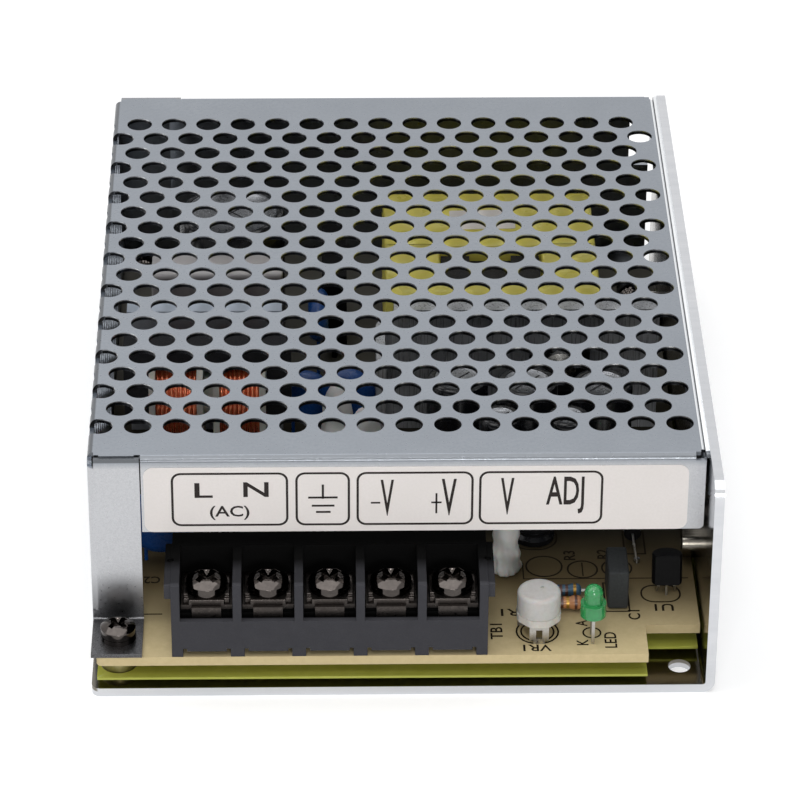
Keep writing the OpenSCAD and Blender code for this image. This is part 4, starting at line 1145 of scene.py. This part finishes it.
@dataclass
class PowerParts:
    """The heatsinks and the large parts under the perforated cover."""

    wire_r: float = 0.36 * MM
    discs: tuple[str, ...] = ("disc_capacitor_1", "disc_capacitor_2", "disc_capacitor_3", "varistor")

    def dress_solids(self) -> None:
        """Gives the solids that are shown as they are their finishes."""
        dress(["left_heatsink"], PALE_SINK)
        dress(["right_heatsink"], SINK)
        dress(["switch_transistor", "output_rectifier", "bridge_rectifier", "transformer_bobbin"], EPOXY)
        dress(["sink_screws"], STEEL)
        dress(["transformer_core", "choke_core"], FERRITE)
        dress(["choke_bobbin"], IVORY)
        dress(self.discs, BLUE)

    def build_can(self, node: str) -> None:
        """Builds a round capacitor: shrunk sleeve, crimp and scored top.

        Args:
            node: Solid that it stands for.
        """
        low, high = box_of(node)
        centre = Vector((*((low + high) / 2).xy, low.z))
        r, h = (high.x - low.x) / 2, high.z - low.z
        inner = r - min(0.9 * MM, r / 5) - 0.3 * MM
        mesh = bmesh.new()
        turned(mesh, [(0, 0), (r - 0.4 * MM, 0), (r, 0.3 * MM), (r, 1.1 * MM), (r - 0.5 * MM, 1.7 * MM),
                      (r - 0.5 * MM, 2.1 * MM), (r, 2.7 * MM), (r, h - 0.8 * MM),
                      (r - 0.22 * MM, h - 0.2 * MM), (r - 0.6 * MM, h), (inner, h),
                      (inner - 0.1 * MM, h - 0.12 * MM)], centre, "Z", 40)
        turned(mesh, [(inner - 0.1 * MM, h - 0.12 * MM), (inner - 0.6 * MM, h - 0.35 * MM),
                      (0, h - 0.35 * MM)], centre, "Z", 40, 1)
        for angle in (45, 135):
            flat_shape(mesh, 1.15 * r, 0.25 * MM, 0, 0.06 * MM,
                       lying(centre.x, centre.y, centre.z + h - 0.37 * MM, angle), 0, 2)
        settle(node + "_can", mesh, [SLEEVE, CAN_TOP, FERRITE], [node])

    def build_transformer(self) -> None:
        """Builds the taped winding with its blank paper tag."""
        low, high = box_of("transformer_winding")
        core_low, core_high = box_of("transformer_core")
        mesh = bmesh.new()
        rim = 0.25 * MM
        depth = core_high.z - 0.4 * MM
        lap = 1.2 * MM
        over = 0.06 * MM
        spans = ((low.x, core_low.x - rim, core_low.y - rim - lap, core_high.y + rim + lap),
                 (core_high.x + rim, high.x, core_low.y - rim - lap, core_high.y + rim + lap),
                 (low.x, high.x, low.y, core_low.y - rim), (low.x, high.x, core_high.y + rim, high.y))
        for x0, x1, y0, y1 in spans:
            rounded_box(mesh, (x0, y0, low.z), (x1, y1, high.z), 0.5 * MM, 3)
        rounded_box(mesh, (core_low.x - rim, core_low.y - rim, low.z),
                    (core_high.x + rim, core_high.y + rim, core_low.z - 0.05 * MM))
        for k in range(1, 6):
            z = low.z + k * (depth - low.z) / 6
            rounded_box(mesh, (low.x - over, low.y - over, z), (high.x + over, high.y + over, z + 1.6 * MM),
                        0.05 * MM, 1)
        settle("transformer_tape", mesh, [TAPE], ["transformer_winding"])
        tag = bmesh.new()
        flat_shape(tag, 11 * MM, 6.5 * MM, 0.4 * MM, 0.08 * MM,
                   lying((low.x + high.x) / 2 - 1 * MM, high.y - 9.5 * MM, high.z, 1.5))
        settle("transformer_tag", tag, [PAPER])

    def build_choke_windings(self) -> None:
        """Winds the two sections of the line choke turn by turn."""
        low, high = box_of("choke_windings")
        bobbin_low, bobbin_high = box_of("choke_bobbin")
        width = bobbin_high.x - bobbin_low.x
        y, z = (low.y + high.y) / 2, (low.z + high.z) / 2
        outer = (high.y - low.y) / 2 - self.wire_r
        mesh = bmesh.new()
        sections = ((bobbin_low.x + 1 * MM, bobbin_low.x + 0.41 * width),
                    (bobbin_low.x + 0.55 * width + 1 * MM, bobbin_high.x - 1 * MM))
        for a, b in sections:
            turned(mesh, [(4.2 * MM, 0), (outer, 0), (outer, b - a), (4.2 * MM, b - a)], (a, y, z), "X")
            turns = int((b - a) / (2 * self.wire_r))
            pitch = (b - a) / turns
            for k in range(turns):
                ring = [(outer + self.wire_r * math.sin(t * math.pi / 4),
                         pitch * (k + 0.5) - self.wire_r * math.cos(t * math.pi / 4)) for t in range(5)]
                turned(mesh, ring, (a, y, z), "X")
        settle("choke_wire", mesh, [COPPER], ["choke_windings"], 50)

    def build_line_capacitor(self) -> None:
        """Builds the line filter capacitor's box."""
        low, high = box_of("line_capacitor")
        mesh = bmesh.new()
        rounded_box(mesh, low + Vector((0, 0, 0.3 * MM)), high, 0.5 * MM, 3)
        settle("line_capacitor_box", mesh, [CREAM], ["line_capacitor"])

    def build_fuse(self) -> None:
        """Builds the fuse: ceramic tube, two bright caps and its wires."""
        low, high = box_of("fuse")
        y = (low.y + high.y) / 2
        r = (high.y - low.y) / 2
        z = high.z - r
        length = high.x - low.x
        gap = 0.2 * MM
        mesh = bmesh.new()
        start = (low.x, y, z)
        turned(mesh, [(0, gap), (r - 0.25 * MM, gap), (r - 0.25 * MM, length - gap), (0, length - gap)],
               start, "X", 28)
        cap = length / 4
        for foot in (0.0, length - cap):
            turned(mesh, [(0, foot), (r - 0.3 * MM, foot), (r, foot + 0.3 * MM), (r, foot + cap - 0.15 * MM),
                          (r - 0.15 * MM, foot + cap), (0, foot + cap)], start, "X", 28, 1)
        for x in (low.x + 1 * MM, high.x - 1 * MM):
            rod(mesh, (x, y, z), (x, y, low.z), 0.4 * MM, 12)
        settle("fuse_tube", mesh, [CERAMIC, STEEL], ["fuse"])


# ---------------------------------------------------------------- studio


@dataclass
class Studio:
    """Floor, lamps, world and camera."""

    lens: float = 189.75
    sensor: float = 36.0
    eye: Point = (-12.531 * MM, -597.593 * MM, 385.566 * MM)
    elevation: float = 31.877
    azimuth: float = 1.2589
    roll: float = 0.3331
    floor_size: float = 12.0
    lamps: tuple[tuple[str, Point, float, float], ...] = (
        ("top_softbox", (-0.15, 0.08, 1.05), 1.4, 10.0),
        ("front_softbox", (0.1, -1.15, 0.32), 0.3, 3.6),
        ("key_softbox", (-0.1, -0.8, 1.0), 0.2, 1.6),
        ("left_fill", (-1.0, -0.2, 0.6), 0.6, 1.2))

    def build_camera(self) -> None:
        """Sets the camera at the height and turn of a product shot."""
        a, e, r = (math.radians(v) for v in (self.azimuth, self.elevation, self.roll))
        ahead = Vector((math.sin(a) * math.cos(e), math.cos(a) * math.cos(e), -math.sin(e)))
        side = Vector((math.cos(a), -math.sin(a), 0))
        up = side.cross(ahead)
        across = math.cos(r) * side + math.sin(r) * up
        upward = -math.sin(r) * side + math.cos(r) * up
        data = bpy.data.cameras.new("camera")
        data.lens = self.lens
        data.sensor_width = self.sensor
        data.clip_start, data.clip_end = 0.01, 50
        camera = put_in_scene("camera", data)
        turn = Matrix((across, upward, -ahead)).transposed().to_4x4()
        camera.matrix_world = Matrix.Translation(self.eye) @ turn
        bpy.context.scene.camera = camera

    def seen_share(self, tree: bpy.types.NodeTree) -> Socket:
        """Finds the rays that come straight from the eye or by way of metal or glass.

        Args:
            tree: The node tree to add to.

        Returns:
            1 for such a ray, 0 for any other.
        """
        path = tree.nodes.new("ShaderNodeLightPath")
        total = path.outputs["Is Camera Ray"]
        for name in ("Is Glossy Ray", "Is Transmission Ray"):
            join = tree.nodes.new("ShaderNodeMath")
            join.operation = "MAXIMUM"
            tree.links.new(total, join.inputs[0])
            tree.links.new(path.outputs[name], join.inputs[1])
            total = join.outputs[0]
        return total

    def build_world(self) -> None:
        """Makes a soft pale world that is white where it is seen."""
        world = bpy.data.worlds.new("studio")
        world.use_nodes = True
        tree = world.node_tree
        sky = tree.nodes["Background"]
        sky.inputs["Color"].default_value = (1, 1, 1, 1)
        power = tree.nodes.new("ShaderNodeMapRange")
        power.inputs["To Min"].default_value = 0.22
        power.inputs["To Max"].default_value = 1.0
        tree.links.new(self.seen_share(tree), power.inputs["Value"])
        tree.links.new(power.outputs["Result"], sky.inputs["Strength"])
        bpy.context.scene.world = world

    def build_floor(self) -> None:
        """Lays a pale floor that is lifted to white where it is seen."""
        mesh = bmesh.new()
        bmesh.ops.create_grid(mesh, x_segments=1, y_segments=1, size=self.floor_size / 2)
        data = bpy.data.meshes.new("floor")
        mesh.to_mesh(data)
        mesh.free()
        nodes = Nodes("pale_floor")
        nodes.set(specular_ior_level=0.1, emission_color=(1, 1, 1))
        grain = nodes.noise(40, (1, 1, 1), 3, 0.5)
        nodes.feed("Base Color", nodes.blended(grain, (0.82, 0.82, 0.82), (0.8, 0.8, 0.8)))
        nodes.feed("Roughness", nodes.fitted(grain, 0, 1, 0.7, 0.8))
        nodes.feed("Emission Strength", nodes.joined("MULTIPLY", self.seen_share(nodes.tree), 0.35))
        data.materials.append(nodes.material)
        floor = put_in_scene("floor", data)

    def build_lamps(self) -> None:
        """Hangs the softboxes, each turned towards the object."""
        for name, place, size, power in self.lamps:
            data = bpy.data.lights.new(name, "AREA")
            data.shape = "SQUARE"
            data.size = size
            data.energy = power
            lamp = put_in_scene(name, data)
            lamp.location = place
            lamp.rotation_mode = "QUATERNION"
            lamp.rotation_quaternion = (Vector((0, 0, 0.02)) - Vector(place)).to_track_quat("-Z", "Y")

    def build(self) -> None:
        """Builds the whole studio."""
        self.build_camera()
        self.build_world()
        self.build_floor()
        self.build_lamps()
        bpy.context.scene.view_settings.view_transform = "Standard"


def main() -> None:
    """Builds the sub-assemblies in order and reports them."""
    logging.basicConfig(level=logging.INFO, format="%(name)s: %(message)s")
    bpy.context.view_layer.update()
    Studio().build()
    enclosure = Enclosure()
    front = FrontParts()
    power = PowerParts()
    cans = {"bulk_capacitor": "bulk_sleeve",
            **{f"output_capacitor_{i}": f"output_sleeve_{i}" for i in range(1, 6)},
            "small_capacitor": "small_capacitor_sleeve"}
    steps: list[Callable[[], None]] = [
        enclosure.dress_solids, enclosure.build_film, enclosure.build_screws, enclosure.build_back_lap,
        enclosure.build_side_roll, enclosure.build_label, TerminalRow().build, PrintedBoard().build,
        front.dress_solids, front.build_box_capacitor, front.build_resistors, front.build_silicone,
        front.build_regulator, front.build_diode,
        power.dress_solids, power.build_transformer, power.build_choke_windings,
        power.build_line_capacitor, power.build_fuse]
    for step in steps:
        step()
        log.info("%s done", step.__qualname__)
    for node, slot in cans.items():
        power.build_can(node)


if __name__ == "__main__":
    main()
